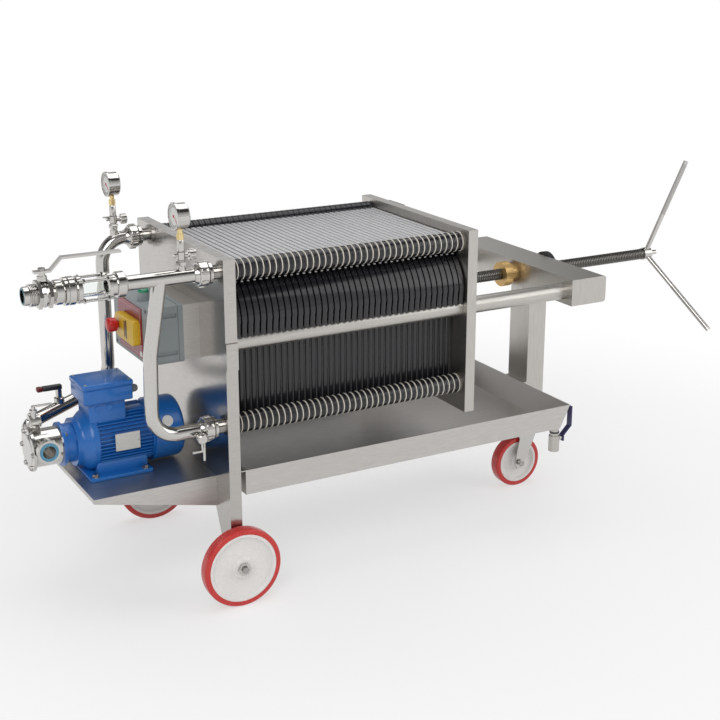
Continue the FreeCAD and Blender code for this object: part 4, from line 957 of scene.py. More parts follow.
@dataclass
class SightGlass:
    """The glass tube of the filtrate line between its flanges."""

    frame_span: Span = field(default_factory=lambda: Span.of("sight_frame"))
    glass_span: Span = field(default_factory=lambda: Span.of("sight_glass"))
    rod_spread: float = 22 * MM
    rod_radius: float = 3.6 * MM

    def build(self) -> None:
        """Union, flanges, rods with their nuts, and the hollow glass."""
        start = Vector((self.frame_span.high.x, self.frame_span.centre.y, self.frame_span.centre.z))
        to_glass = self.frame_span.high.x - self.glass_span.high.x
        to_clamp = self.frame_span.high.x - self.glass_span.low.x
        end = self.frame_span.size.x
        bore = 15.5 * MM
        union = [(0, bore), (0, 22 * MM), (2 * MM, 24 * MM), (4 * MM, 24 * MM), (4.5 * MM, 28 * MM), (6 * MM, 29.5 * MM),
                 (22 * MM, 29.5 * MM), (24 * MM, 28 * MM), (24 * MM, 24 * MM), (to_glass - 9 * MM, 24 * MM),
                 (to_glass - 8 * MM, 30.5 * MM), (to_glass - 1 * MM, 30.5 * MM), (to_glass, 29.5 * MM), (to_glass, bore)]
        clamp = [(to_clamp, bore), (to_clamp, 30 * MM), (to_clamp + 1 * MM, 31 * MM), (to_clamp + 9 * MM, 31 * MM),
                 (to_clamp + 10 * MM, 30 * MM), (to_clamp + 10 * MM, 25 * MM), (to_clamp + 14 * MM, 25 * MM),
                 (to_clamp + 14.5 * MM, 30.5 * MM), (to_clamp + 16 * MM, 32 * MM), (end - 2 * MM, 32 * MM),
                 (end, 30.5 * MM), (end, bore)]
        parts = [lathe("union", union, start, Axis.MINUS_X, 48, True), lathe("clamp", clamp, start, Axis.MINUS_X, 48, True)]
        for side, up in ((-1, -1), (-1, 1), (1, -1), (1, 1)):
            foot = start + Vector((-to_glass + 8 * MM, side * self.rod_spread, up * self.rod_spread))
            length = to_clamp - to_glass + 16 * MM
            parts.append(lathe("rod", [(0, 0), (0, self.rod_radius), (length, self.rod_radius), (length, 0)], foot,
                               Axis.MINUS_X, 20))
            for along in (8.4 * MM, length - 13 * MM):
                parts.append(hexagon("rod_nut", foot + Vector((-along, 0, 0)), Axis.MINUS_X, 6.4 * MM, 4.6 * MM))
        settle(joined("sight_fittings", parts), Body.PRESS, BRIGHT, ["sight_frame"])
        radius = self.glass_span.size.z / 2
        tube = lathe("sight_tube", [(to_glass, radius - 2.5 * MM), (to_glass, radius), (to_clamp, radius),
                                    (to_clamp, radius - 2.5 * MM)], start, Axis.MINUS_X, 48, True)
        settle(tube, Body.PRESS, GLASS, ["sight_glass"])


@dataclass
class OutletValve:
    """The ball valve at the end of the filtrate line, with its thread for a hose."""

    span: Span = field(default_factory=lambda: Span.of("outlet_valve"))
    bore: float = 15 * MM
    thread_radius: float = 25 * MM
    thread_pitch: float = 3.4 * MM

    def build(self) -> None:
        """Flange, six-sided body, thread, seal and stem."""
        start = Vector((self.span.high.x, self.span.centre.y, self.span.low.z + 35 * MM))
        flange = [(0, 0), (0, 30 * MM), (1 * MM, 31.5 * MM), (8 * MM, 31.5 * MM), (9 * MM, 29 * MM), (9 * MM, 24 * MM),
                  (13 * MM, 24 * MM), (14 * MM, 28 * MM), (27 * MM, 28 * MM), (30 * MM, 25 * MM), (30 * MM, 18 * MM),
                  (36 * MM, 18 * MM), (36 * MM, 0)]
        parts = [lathe("flange", flange, start, Axis.MINUS_X)]
        for along in (35 * MM, 58 * MM):
            parts.append(lathe("hexagon", [(0, 0), (0, 31 * MM), (1.4 * MM, 33.6 * MM), (8.6 * MM, 33.6 * MM),
                                           (10 * MM, 31 * MM), (10 * MM, 0)], start + Vector((-along, 0, 0)),
                               Axis.MINUS_X, 6))
        parts.append(lathe("ball_house", [(0, 0), (0, 27 * MM), (8 * MM, 30.5 * MM), (16 * MM, 27 * MM), (16 * MM, 0)],
                           start + Vector((-43 * MM, 0, 0)), Axis.MINUS_X))
        ridges: list[tuple[float, float]] = [(68 * MM, self.bore), (68 * MM, self.thread_radius - 2 * MM)]
        for index in range(5):
            along = 68 * MM + index * self.thread_pitch
            ridges += [(along + 0.5 * MM, self.thread_radius - 2 * MM), (along + 1.3 * MM, self.thread_radius),
                       (along + 2.1 * MM, self.thread_radius), (along + 2.9 * MM, self.thread_radius - 2 * MM)]
        end = self.span.size.x
        ridges += [(end - 12 * MM, 21 * MM), (end - 1 * MM, 21 * MM), (end, 20 * MM), (end, self.bore)]
        parts.append(lathe("thread", ridges, start, Axis.MINUS_X, 56, True))
        stem_x = start.x - 51.5 * MM
        for low, radius in ((30 * MM, 11 * MM), (40 * MM, 8 * MM)):
            height = self.span.high.z - start.z - low if low > 35 * MM else 10 * MM
            parts.append(lathe("stem", [(0, 0), (0, radius), (height, radius), (height, 0)],
                               Vector((stem_x, start.y, start.z + low)), Axis.Z, 28))
        settle(joined("hose_valve", parts), Body.PRESS, BRIGHT, ["outlet_valve"])
        seal = lathe("hose_seal", [(end - 3 * MM, 15.2 * MM), (end - 3 * MM, 18.5 * MM), (end + 0.4 * MM, 18.5 * MM),
                                   (end + 0.4 * MM, 15.2 * MM)], start, Axis.MINUS_X, 40, True)
        settle(seal, Body.PRESS, SEAL_BLUE)
        lever = Span.of("outlet_lever")
        nut = hexagon("lever_nut", Vector((stem_x, start.y, lever.low.z + 5 * MM)), Axis.Z, 8 * MM, 6 * MM)
        settle(nut, Body.OUTLET_LEVER, BOLT_STEEL)


@dataclass
class SamplingCocks:
    """The small cocks under the gauges: hexagons, side knobs and little levers."""

    span: Span = field(default_factory=lambda: Span.of("sample_cocks"))
    side_rise: float = 27 * MM
    side_reach: float = 34 * MM

    def build(self) -> None:
        """Both cocks, in the place of the plain ones."""
        parts = []
        low, high = self.span.low.z, self.span.high.z
        x = self.span.low.x + 10 * MM
        for side in (-1, 1):
            y = side * (self.span.size.y / 2 - 13 * MM)
            foot = Vector((x, y, low))
            rise = high - low
            parts.append(lathe("body", [
                (0, 0), (0, 9 * MM), (6 * MM, 9 * MM), (8 * MM, 8 * MM), (17 * MM, 8 * MM), (19 * MM, 10 * MM),
                (36 * MM, 10 * MM), (38 * MM, 8.5 * MM), (rise - 4 * MM, 8.5 * MM), (rise, 7 * MM), (rise, 0),
            ], foot, Axis.Z, 32))
            parts.append(hexagon("collar", foot + Vector((0, 0, 6 * MM)), Axis.Z, 12.5 * MM, 9 * MM))
            knob = foot + Vector((0, 0, self.side_rise))
            parts.append(lathe("neck", [(0, 0), (0, 6 * MM), (18 * MM, 6 * MM), (18 * MM, 11.5 * MM), (19 * MM, 12.5 * MM),
                                        (33 * MM, 12.5 * MM), (self.side_reach, 11.5 * MM), (self.side_reach, 0)],
                               knob, Axis.X, 32))
            ridge = slab("ridge", knob + Vector((20 * MM, -0.9 * MM, 12 * MM)),
                         knob + Vector((32 * MM, 0.9 * MM, 13.2 * MM)), 0.4 * MM, 1)
            parts.append(repeat(ridge, BRIGHT, 24, turn=Vector((math.radians(15), 0, 0)), centre=knob))
            parts.append(lathe("spout", [(0, 0), (0, 4.5 * MM), (17 * MM, 4.5 * MM), (19 * MM, 3.5 * MM), (19 * MM, 0)],
                               knob + Vector((0, 0, 2 * MM)), Axis.MINUS_X, 20))
            parts.append(slab("little_lever", knob + Vector((-27 * MM, -3 * MM, 6 * MM)),
                              knob + Vector((-9 * MM, 3 * MM, 9 * MM)), 1 * MM))
        settle(joined("cock_fittings", parts), Body.PRESS, BRIGHT, ["sample_cocks"])


@dataclass
class PortCock:
    """The small cock under the lower near port, with its cross handle and knurled knob."""

    port: Span = field(default_factory=lambda: Span.of("pipe_unions"))

    def build(self) -> None:
        """Stem, knob, cross handle and thin spout."""
        x = self.port.low.x - 8 * MM
        y = self.port.low.y + 14 * MM
        z = self.port.low.z + 24 * MM
        place = Vector((x, y, z))
        knob = lathe("knob", [(0, 0), (0, 6 * MM), (10 * MM, 6 * MM), (12 * MM, 12 * MM), (27 * MM, 12 * MM),
                              (29 * MM, 10 * MM), (29 * MM, 0)], place, Axis.MINUS_Y, 32)
        ridge = slab("ridge", place + Vector((-0.8 * MM, -26 * MM, 11.6 * MM)),
                     place + Vector((0.8 * MM, -14 * MM, 12.6 * MM)), 0.3 * MM, 1)
        ridges = repeat(ridge, BRIGHT, 24, turn=Vector((0, math.radians(15), 0)), centre=place)
        stalk = lathe("stalk", [(0, 0), (0, 3 * MM), (24 * MM, 3 * MM), (24 * MM, 0)], place + Vector((0, -20 * MM, -8 * MM)),
                      Axis.MINUS_Z, 16)
        cross = slab("cross", place + Vector((-26 * MM, -23 * MM, -34 * MM)), place + Vector((4 * MM, -17 * MM, -28 * MM)),
                     2 * MM)
        spout = lathe("spout", [(0, 0), (0, 4 * MM), (52 * MM, 3.5 * MM), (52 * MM, 0)], place + Vector((10 * MM, -6 * MM, -9 * MM)),
                      Axis.MINUS_Z, 16)
        settle(joined("port_cock", [knob, ridges, stalk, cross, spout]), Body.PRESS, BRIGHT)


@dataclass
class Motor:
    """The blue motor: ribbed barrel, end bell, feet, fan cover, terminal box and bare plates."""

    barrel: Span = field(default_factory=lambda: Span.of("motor_housing"))
    cover: Span = field(default_factory=lambda: Span.of("fan_cover"))
    box: Span = field(default_factory=lambda: Span.of("terminal_box"))
    bell_length: float = 34 * MM
    barrel_radius: float = 66 * MM
    rib_reach: float = 75 * MM
    rib_step: float = 7.5

    @property
    def axis_place(self) -> Vector:
        """Where the motor's axis meets the barrel's end by the fan cover."""
        return Vector((self.barrel.high.x, (self.cover.low.y + self.cover.high.y) / 2, self.cover.centre.z))

    def housing(self) -> None:
        """Barrel, ribs, end shields and feet, in the place of the plain housing."""
        start = self.axis_place
        length = self.barrel.size.x - self.bell_length
        whole = self.barrel.size.x
        radius = self.barrel_radius
        parts = [lathe("barrel", [
            (0, 0), (0, 73 * MM), (6 * MM, 74 * MM), (8 * MM, radius), (length - 10 * MM, radius),
            (length - 8 * MM, 74 * MM), (length + 4 * MM, 75 * MM), (length + 12 * MM, 72 * MM),
            (whole - 10 * MM, 61 * MM), (whole - 6 * MM, 59 * MM), (whole, 59 * MM), (whole, 0),
        ], start, Axis.MINUS_X, 72)]
        for begin, count in ((20, 7), (116, 16), (248, 12)):
            rib = slab("rib", start + Vector((8 * MM - length, -1.3 * MM, radius - 2 * MM)),
                       start + Vector((-8 * MM, 1.3 * MM, self.rib_reach)), 0.8 * MM, 1)
            for vertex in rib.data.vertices:
                vertex.co = start + Matrix.Rotation(math.radians(begin - 90), 3, "X") @ (vertex.co - start)
            step = Vector((math.radians(self.rib_step), 0, 0))
            parts.append(repeat(rib, MOTOR_BLUE, count, turn=step, centre=start))
        low = self.barrel.low.z
        foot_low, foot_high = start.x - length - 25 * MM, start.x - 15 * MM
        parts.append(slab("sole", Vector((foot_low, self.barrel.low.y, low)),
                          Vector((foot_high, self.barrel.high.y, low + 10 * MM)), 2.5 * MM))
        for side in (-1, 1):
            middle = start.y + side * 48 * MM
            parts.append(slab("leg", Vector((foot_low + 26 * MM, middle - 11 * MM, low + 4 * MM)),
                              Vector((foot_high - 4 * MM, middle + 11 * MM, start.z - 42 * MM)), 4 * MM, 3))
        settle(joined("motor_body", parts), Body.PRESS, MOTOR_BLUE, ["motor_housing"])
        places = [(x, start.y + side * 72 * MM, low + 10 * MM) for x in (foot_low + 16 * MM, foot_high - 16 * MM)
                  for side in (-1, 1)]
        Bolts("foot_bolts", places, Axis.Z, 8 * MM).build()
        ring = [(start.x - whole + 5 * MM, start.y + 52 * MM * math.sin(math.radians(45 + 90 * turn)),
                 start.z + 52 * MM * math.cos(math.radians(45 + 90 * turn))) for turn in range(4)]
        Bolts("bell_bolts", ring, Axis.MINUS_X, 5 * MM).build()

    def fan_cover(self) -> None:
        """The cover over the fan, its back edge rounded, with its slots drawn as dark strips of painted shade."""
        radius = self.cover.size.z / 2
        length = self.cover.size.x
        start = Vector((self.cover.low.x, self.cover.centre.y, self.cover.centre.z))
        profile = [(0, 0), (0, radius - 1 * MM), (1 * MM, radius), (5 * MM, radius), (6 * MM, radius - 1.2 * MM)]
        for step in range(6):
            angle = math.pi / 2 * step / 5
            profile.append((length - 14 * MM + 14 * MM * math.sin(angle), radius - 15.2 * MM + 14 * MM * math.cos(angle)))
        profile.append((length, 0))
        settle(lathe("fan_shroud", profile, start, Axis.X, 64), Body.PRESS, MOTOR_BLUE, ["fan_cover"])
        back = start + Vector((length, 0, 0))
        # The slots are not cut: thin dark strips on the back paint the shade seen in them.
        slot = slab("slot", back + Vector((-0.6 * MM, -1.6 * MM, 18 * MM)), back + Vector((0.3 * MM, 1.6 * MM, 56 * MM)))
        slots = repeat(slot, DARK_METAL_AND_SLOT_SHADE, 24, turn=Vector((math.radians(15), 0, 0)), centre=back)
        settle(slots, Body.PRESS, DARK_METAL_AND_SLOT_SHADE)

    def terminal(self) -> None:
        """Terminal box with its lid, screws, blind plugs and cable gland."""
        low, high = self.box.low, self.box.high
        lid = 14 * MM
        floor = high.z - 50 * MM
        base = slab("base", Vector((low.x + 2 * MM, low.y + 2 * MM, floor)),
                    Vector((high.x - 2 * MM, high.y - 2 * MM, high.z - lid + 1 * MM)), 4 * MM, 3)
        top = slab("lid", Vector((low.x, low.y, high.z - lid)), high, 4.5 * MM, 3)
        neck = slab("neck", Vector((low.x + 15 * MM, low.y + 13 * MM, self.barrel.centre.z + 40 * MM)),
                    Vector((high.x - 19 * MM, high.y - 13 * MM, floor + 2 * MM)), 3 * MM)
        settle(joined("terminal_case", [base, top, neck]), Body.PRESS, MOTOR_BLUE, ["terminal_box"])
        screws = []
        for x in (low.x + 9 * MM, high.x - 9 * MM):
            for y in (low.y + 9 * MM, high.y - 9 * MM):
                screws.append(lathe("screw", [(-1 * MM, 0), (-1 * MM, 4 * MM), (1.2 * MM, 3.6 * MM), (1.8 * MM, 2 * MM),
                                              (1.8 * MM, 0)], Vector((x, y, high.z)), Axis.Z, 20))
        settle(joined("lid_screws", screws), Body.PRESS, BOLT_STEEL)
        plugs = []
        for along in (38 * MM, 66 * MM):
            plugs.append(lathe("plug", [(0, 0), (0, 8.5 * MM), (2 * MM, 8 * MM), (2 * MM, 5 * MM), (1 * MM, 4.5 * MM), (1 * MM, 0)],
                               Vector((low.x + along, low.y + 13 * MM, floor - 16 * MM)), Axis.MINUS_Y, 28))
        settle(joined("blind_plugs", plugs), Body.PRESS, MOTOR_BLUE)
        gland = Vector((high.x - 3 * MM, self.box.centre.y - 18 * MM, floor + 16 * MM))
        parts = [hexagon("gland_nut", gland, Axis.X, 13 * MM, 10 * MM),
                 lathe("gland_dome", [(0, 0), (0, 10 * MM), (9 * MM, 9.5 * MM), (14 * MM, 6.5 * MM), (14 * MM, 0)],
                       gland + Vector((9 * MM, 0, 0)), Axis.X, 28)]
        settle(joined("cable_gland", parts), Body.PRESS, GLAND_GREY)

    def plates(self) -> None:
        """A bare rating plate on the ribs and a bare round label on the fan cover."""
        start = self.axis_place
        face = start.y - self.rib_reach
        plate = slab("rating_plate", Vector((start.x - 104 * MM, face - 1.6 * MM, start.z - 16 * MM)),
                     Vector((start.x - 42 * MM, face - 0.4 * MM, start.z + 28 * MM)), 0.4 * MM, 1)
        settle(plate, Body.PRESS, RATING_PLATE)
        pins = [lathe("pin", [(0, 0), (0, 2 * MM), (0.8 * MM, 1.2 * MM), (0.8 * MM, 0)],
                      Vector((start.x - along, face - 1.6 * MM, start.z + 6 * MM)), Axis.MINUS_Y, 14)
                for along in (100 * MM, 46 * MM)]
        settle(joined("plate_pins", pins), Body.PRESS, BOLT_STEEL)
        radius = self.cover.size.z / 2 - 1.2 * MM
        label = lathe("round_label", [(0, 0), (0, 14 * MM), (0.5 * MM, 13.8 * MM), (0.5 * MM, 0)], Vector((0, 0, 0)), Axis.Z, 36)
        middle = Vector((self.cover.centre.x - 6 * MM, self.cover.centre.y, self.cover.centre.z))
        tilt = math.radians(62)
        for vertex in label.data.vertices:
            x, y, z = vertex.co
            angle = tilt + y / radius
            reach = radius + 0.2 * MM + z
            vertex.co = middle + Vector((x, -reach * math.sin(angle), reach * math.cos(angle)))
        tidy(label)
        settle(label, Body.PRESS, BARE_LABEL)

    def build(self) -> None:
        """The whole motor."""
        self.housing()
        self.fan_cover()
        self.terminal()
        self.plates()
        flange = Span.of("motor_flange")
        centre = flange.centre
        places = [(flange.low.x + 8 * MM, centre.y + 47 * MM * math.sin(turn), centre.z + 47 * MM * math.cos(turn))
                  for turn in (math.radians(45 + 90 * index) for index in range(4))]
        Bolts("flange_bolts", places, Axis.X, 5.5 * MM).build()


@dataclass
class Pump:
    """The steel pump's cover bolts, coloured port seal, relief cap and small cock."""

    cover: Span = field(default_factory=lambda: Span.of("pump_cover"))
    body_span: Span = field(default_factory=lambda: Span.of("pump_body"))
    bolt_circle: float = 46 * MM
    port_x: float = -930.65 * MM
    port_z: float = 397 * MM

    def build(self) -> None:
        """The pump's cover and fittings."""
        centre = self.cover.centre
        radius = self.cover.size.z / 2
        length = self.cover.size.x
        start = Vector((self.cover.high.x, centre.y, centre.z))
        profile = [(0, 0), (0, radius - 1 * MM), (1 * MM, radius), (length - 3 * MM, radius), (length - 1.5 * MM, radius - 1.5 * MM),
                   (length - 1.5 * MM, 38 * MM), (length, 36 * MM), (length, 0)]
        settle(lathe("pump_lid", profile, start, Axis.MINUS_X, 64), Body.PRESS, BRIGHT, ["pump_cover"])
        places = [(self.cover.low.x + 1.5 * MM, centre.y + self.bolt_circle * math.sin(turn),
                   centre.z + self.bolt_circle * math.cos(turn)) for turn in (math.radians(30 + 60 * index) for index in range(6))]
        Bolts("pump_bolts", places, Axis.MINUS_X, 5.5 * MM).build()
        seal = lathe("port_seal", [(-0.2 * MM, 15.7 * MM), (-0.2 * MM, 23 * MM), (1.6 * MM, 22.6 * MM), (1.6 * MM, 15.7 * MM)],
                     Vector((self.port_x, self.body_span.low.y, self.port_z)), Axis.MINUS_Y, 40, True)
        settle(seal, Body.PRESS, PORT_BLUE)
        cap = Vector((self.cover.high.x, centre.y, self.body_span.high.z - 22 * MM))
        ridge = slab("ridge", cap + Vector((1 * MM, -1 * MM, 21.4 * MM)), cap + Vector((15.5 * MM, 1 * MM, 22.8 * MM)), 0.4 * MM, 1)
        ridges = repeat(ridge, BRIGHT, 30, turn=Vector((math.radians(12), 0, 0)), centre=cap)
        dome = lathe("cap_face", [(-1 * MM, 0), (-1 * MM, 19 * MM), (1.5 * MM, 17.5 * MM), (3 * MM, 8 * MM), (6 * MM, 7 * MM),
                                  (6 * MM, 0)], cap, Axis.MINUS_X, 36)
        settle(joined("relief_cap", [ridges, dome]), Body.PRESS, BRIGHT)
        foot = Vector((self.body_span.low.x + 14 * MM, centre.y - 12 * MM, self.body_span.high.z - 3 * MM))
        cock = [lathe("stem", [(-24 * MM, 0), (-24 * MM, 6 * MM), (8 * MM, 6 * MM), (9 * MM, 9 * MM), (15 * MM, 9 * MM), (16 * MM, 5 * MM),
                               (22 * MM, 5 * MM), (22 * MM, 0)], foot, Axis.Z, 28),
                slab("bar", foot + Vector((-4 * MM, -4 * MM, 21 * MM)), foot + Vector((46 * MM, 4 * MM, 25 * MM)), 1.4 * MM)]
        settle(joined("pump_cock", cock), Body.PRESS, BRIGHT)


@dataclass
class FeedCock:
    """The cock on the feed pipe behind the terminal box, its black lever ending in dark red."""

    place: Vector = field(default_factory=lambda: Vector((-0.827, 0.163, 0.414)))
    lever_length: float = 56 * MM

    def build(self) -> None:
        """Stem and lever."""
        stem = [lathe("stem", [(0, 0), (0, 13 * MM), (26 * MM, 13 * MM), (28 * MM, 8 * MM), (48 * MM, 8 * MM), (48 * MM, 0)],
                      self.place, Axis.Z, 28),
                hexagon("nut", self.place + Vector((0, 0, 48 * MM)), Axis.Z, 9 * MM, 12 * MM)]
        settle(joined("feed_cock", stem), Body.PRESS, BRIGHT)
        low = self.place + Vector((-self.lever_length, -8 * MM, 49 * MM))
        grip = slab("feed_cock_lever", low + Vector((14 * MM, 0, 0)), self.place + Vector((8 * MM, 8 * MM, 61 * MM)), 3 * MM, 3)
        settle(grip, Body.PRESS, DARK_METAL_AND_SLOT_SHADE)
        end = slab("feed_cock_grip_end", low, low + Vector((15 * MM, 16 * MM, 12 * MM)), 3 * MM, 3)
        settle(end, Body.PRESS, DARK_RED)


@dataclass
class SwitchBox:
    """Trim of the switch box: border line, bare patch, cover, knob, lamp and lid screws."""

    case: Span = field(default_factory=lambda: Span.of("control_box"))
    panel: Span = field(default_factory=lambda: Span.of("switch_plate"))
    cover: Span = field(default_factory=lambda: Span.of("switch_cover"))
    knob: Span = field(default_factory=lambda: Span.of("stop_button"))
    lamp: Span = field(default_factory=lambda: Span.of("start_lamp"))

    def trim(self) -> None:
        """A thin border line and a small bare patch on the panel."""
        x = self.panel.low.x
        inset, width, proud = 9 * MM, 1.2 * MM, 0.3 * MM
        low, high = self.panel.low, self.panel.high
        edges = [
            (low.y + inset, high.y - inset, high.z - inset - width, high.z - inset),
            (low.y + inset, high.y - inset, low.z + inset, low.z + inset + width),
            (low.y + inset, low.y + inset + width, low.z + inset, high.z - inset),
            (high.y - inset - width, high.y - inset, low.z + inset, high.z - inset),
        ]
        lines = [slab("line", Vector((x - proud, y0, z0)), Vector((x + 0.1 * MM, y1, z1))) for y0, y1, z0, z1 in edges]
        settle(joined("panel_border", lines), Body.PRESS, PALE_LINE)
        patch = slab("bare_patch", Vector((x - 0.6 * MM, low.y + 3 * MM, low.z + 5 * MM)),
                     Vector((x + 0.1 * MM, low.y + 17 * MM, low.z + 17 * MM)), 0.2 * MM, 1)
        settle(patch, Body.PRESS, BARE_LABEL)

    def switch(self) -> None:
        """The yellow cover with its slot and recess drawn as thin strips of painted shade, the red knob and the green
        lamp.
        """
        low, high = self.cover.low, self.cover.high
        half = (high.z - low.z) / 2
        corner = 8 * MM
        outline: list[tuple[float, float]] = []
        for centre_y, centre_z, radius, first in ((high.y - half, 0.0, half, -90), (low.y + corner, half - corner, corner, 90),
                                                 (low.y + corner, corner - half, corner, 180)):
            sweep = 180 if radius == half else 90
            for step in range(9):
                angle = math.radians(first + sweep * step / 8)
                outline.append((centre_y + radius * math.cos(angle), self.cover.centre.z + centre_z + radius * math.sin(angle)))
        body = prism("switch_guard", outline, Vector((low.x, 0, 0)), Axis.Y, Axis.Z, high.x - low.x, 2.2 * MM)
        settle(body, Body.PRESS, YELLOW, ["switch_cover"])
        # The slot and recess are not cut: a dark strip and a brown strip paint the shade in them.
        slot = slab("switch_slot_shade", Vector((low.x - 0.3 * MM, -36 * MM, self.cover.centre.z - 23 * MM)),
                    Vector((low.x + 1 * MM, -28 * MM, self.cover.centre.z + 23 * MM)), 0.2 * MM, 1)
        settle(slot, Body.PRESS, DARK_METAL_AND_SLOT_SHADE)
        recess_shade = slab("switch_recess_shade", Vector((low.x - 0.2 * MM, -27 * MM, self.cover.centre.z - 20 * MM)),
                    Vector((low.x + 1 * MM, -16 * MM, self.cover.centre.z + 20 * MM)), 0.2 * MM, 1)
        settle(recess_shade, Body.PRESS, RECESS_SHADE)
        centre = self.knob.centre
        radius = self.knob.size.z / 2
        start = Vector((self.knob.high.x, centre.y, centre.z))
        length = self.knob.size.x
        stem = 9 * MM
        head = length - 24 * MM
        profile = [(0, 0), (0, stem), (head, stem), (head, radius - 3 * MM), (head + 2 * MM, radius - 1 * MM),
                   (head + 9 * MM, radius - 1 * MM), (head + 10 * MM, radius), (length - 6 * MM, radius),
                   (length - 2 * MM, radius - 2.5 * MM), (length, radius - 7 * MM), (length, 0)]
        settle(lathe("stop_knob", profile, start, Axis.MINUS_X), Body.STOP_BUTTON, RED, ["stop_button"])
        centre = self.lamp.centre
        radius = self.lamp.size.x / 2
        dome = [(0, 0), (0, radius)]
        for step in range(6):
            angle = math.pi / 2 * step / 6
            dome.append((3 * MM + 6 * MM * math.sin(angle), radius * math.cos(angle) ** 0.6))
        dome.append((9 * MM, 0))
        settle(lathe("lamp_lens", dome, Vector((centre.x, centre.y, self.lamp.low.z)), Axis.Z), Body.PRESS, GREEN,
               ["start_lamp"])

    def build(self) -> None:
        """All trim of the box."""
        self.trim()
        self.switch()
        screws = []
        for y in (self.case.low.y + 9 * MM, self.case.high.y - 9 * MM):
            for z in (self.case.low.z + 9 * MM, self.case.high.z - 9 * MM):
                screws.append(lathe("screw", [(-1 * MM, 0), (-1 * MM, 4.5 * MM), (1 * MM, 4.2 * MM), (1.6 * MM, 2.5 * MM), (1.6 * MM, 0)],
                                    Vector((self.case.low.x, y, z)), Axis.MINUS_X, 20))
        settle(joined("box_screws", screws), Body.PRESS, DARK_METAL_AND_SLOT_SHADE)


@dataclass
class Spindle:
    """Fittings of the screw: flange bolts, collar ridges, handle sleeves and the plate's grab handle."""

    nut: Span = field(default_factory=lambda: Span.of("screw_nut"))
    flange: Span = field(default_factory=lambda: Span.of("nut_flange"))
    plate: Span = field(default_factory=lambda: Span.of("movable_plate"))
    handle: Span = field(default_factory=lambda: Span.of("handle"))
    arm_length: float = 295 * MM
    lean: float = 15.0
    phase: float = 103.0

    def sleeves(self) -> None:
        """Fine ridges on the outer half of each handle arm."""
        hub = Vector((self.handle.low.x + 13 * MM, 0, self.flange.centre.z))
        parts = []
        for index in range(3):
            turn = Matrix.Rotation(math.radians(self.phase + 120 * index), 3, "X")
            lean = Matrix.Rotation(math.radians(-self.lean), 3, "Z")
            rings = []
            ring = lathe("ridge", [(-1.1 * MM, 6.6 * MM), (-0.5 * MM, 7.5 * MM), (0.5 * MM, 7.5 * MM), (1.1 * MM, 6.6 * MM)],
                         Vector((0, 130 * MM, 0)), Axis.Y, 20, True)
            rings = repeat(ring, SLEEVE_STEEL, 44, step=Vector((0, 3.6 * MM, 0)))
            for vertex in rings.data.vertices:
                vertex.co = hub + turn @ (lean @ vertex.co)
            parts.append(rings)
        settle(joined("handle_ridges", parts), Body.SCREW, SLEEVE_STEEL)

    def build(self) -> None:
        """All fittings of the spindle."""
        centre = self.flange.centre
        places = [(self.flange.high.x, centre.y + 36 * MM * math.sin(turn), centre.z + 36 * MM * math.cos(turn))
                  for turn in (math.radians(45 + 90 * index) for index in range(4))]
        Bolts("flange_screws", places, Axis.X, 6 * MM, slot="dark_flange").build()
        start = Vector((self.nut.low.x, centre.y, centre.z))
        ridge = slab("ridge", start + Vector((2 * MM, -1.6 * MM, 32.5 * MM)), start + Vector((22 * MM, 1.6 * MM, 34.4 * MM)),
                     0.6 * MM, 1)
        settle(repeat(ridge, BRONZE, 30, turn=Vector((math.radians(12), 0, 0)), centre=start), Body.PRESS, BRONZE)
        back = self.plate.low.x + 28 * MM
        top = self.plate.high.z - 14 * MM
        parts = [slab("grip", Vector((back + 18 * MM, 128 * MM, top - 6 * MM)), Vector((back + 30 * MM, 212 * MM, top + 6 * MM)),
                      5 * MM, 3)]
        for y in (134 * MM, 206 * MM):
            parts.append(lathe("post", [(0, 0), (0, 6 * MM), (22 * MM, 5 * MM), (22 * MM, 0)], Vector((back, y, top)), Axis.X, 20))
        settle(joined("plate_grip", parts), Body.MOVABLE, DARK_METAL_AND_SLOT_SHADE)
        self.sleeves()


@dataclass
class RunningGear:
    """Axle nuts, caster bolts and the drain's dark ring."""

    axles: Span = field(default_factory=lambda: Span.of("stub_axles"))
    mount: Span = field(default_factory=lambda: Span.of("caster_mount"))
    fork: Span = field(default_factory=lambda: Span.of("caster_fork"))
    drain: Span = field(default_factory=lambda: Span.of("drain_valve"))

    def build(self) -> None:
        """All small parts of the running gear."""
        for side, name, axis in ((-1, "near_axle_nut", Axis.MINUS_Y), (1, "far_axle_nut", Axis.Y)):
            place = Vector((self.axles.centre.x, side * self.axles.size.y / 2, self.axles.centre.z))
            settle(hexagon(name, place, axis, 9.5 * MM, 6 * MM), Body.PRESS, BOLT_STEEL)
        low, high = self.mount.low, self.mount.high
        places = [(x, y, high.z - 8 * MM) for x in (low.x + 11 * MM, high.x - 11 * MM) for y in (low.y + 11 * MM, high.y - 11 * MM)]
        Bolts("caster_bolts", places, Axis.MINUS_Z, 6.5 * MM).build()
        hub_x, hub_z = Span.of("caster_core").centre.x, Span.of("caster_core").centre.z
        for side, name, axis in ((-1, "near_fork_nut", Axis.MINUS_Y), (1, "far_fork_nut", Axis.Y)):
            settle(hexagon(name, Vector((hub_x, side * self.fork.size.y / 2, hub_z)), axis, 9 * MM, 6 * MM), Body.CASTER_FORK,
                   BOLT_STEEL)
        middle = Vector((self.drain.centre.x - 4 * MM, self.drain.centre.y, 251 * MM))
        ring = lathe("drain_ring", [(0, 11 * MM), (0, 13.5 * MM), (4 * MM, 13.5 * MM), (4 * MM, 11 * MM)], middle, Axis.Z, 32, True)
        settle(ring, Body.PRESS, DARK_METAL_AND_SLOT_SHADE)


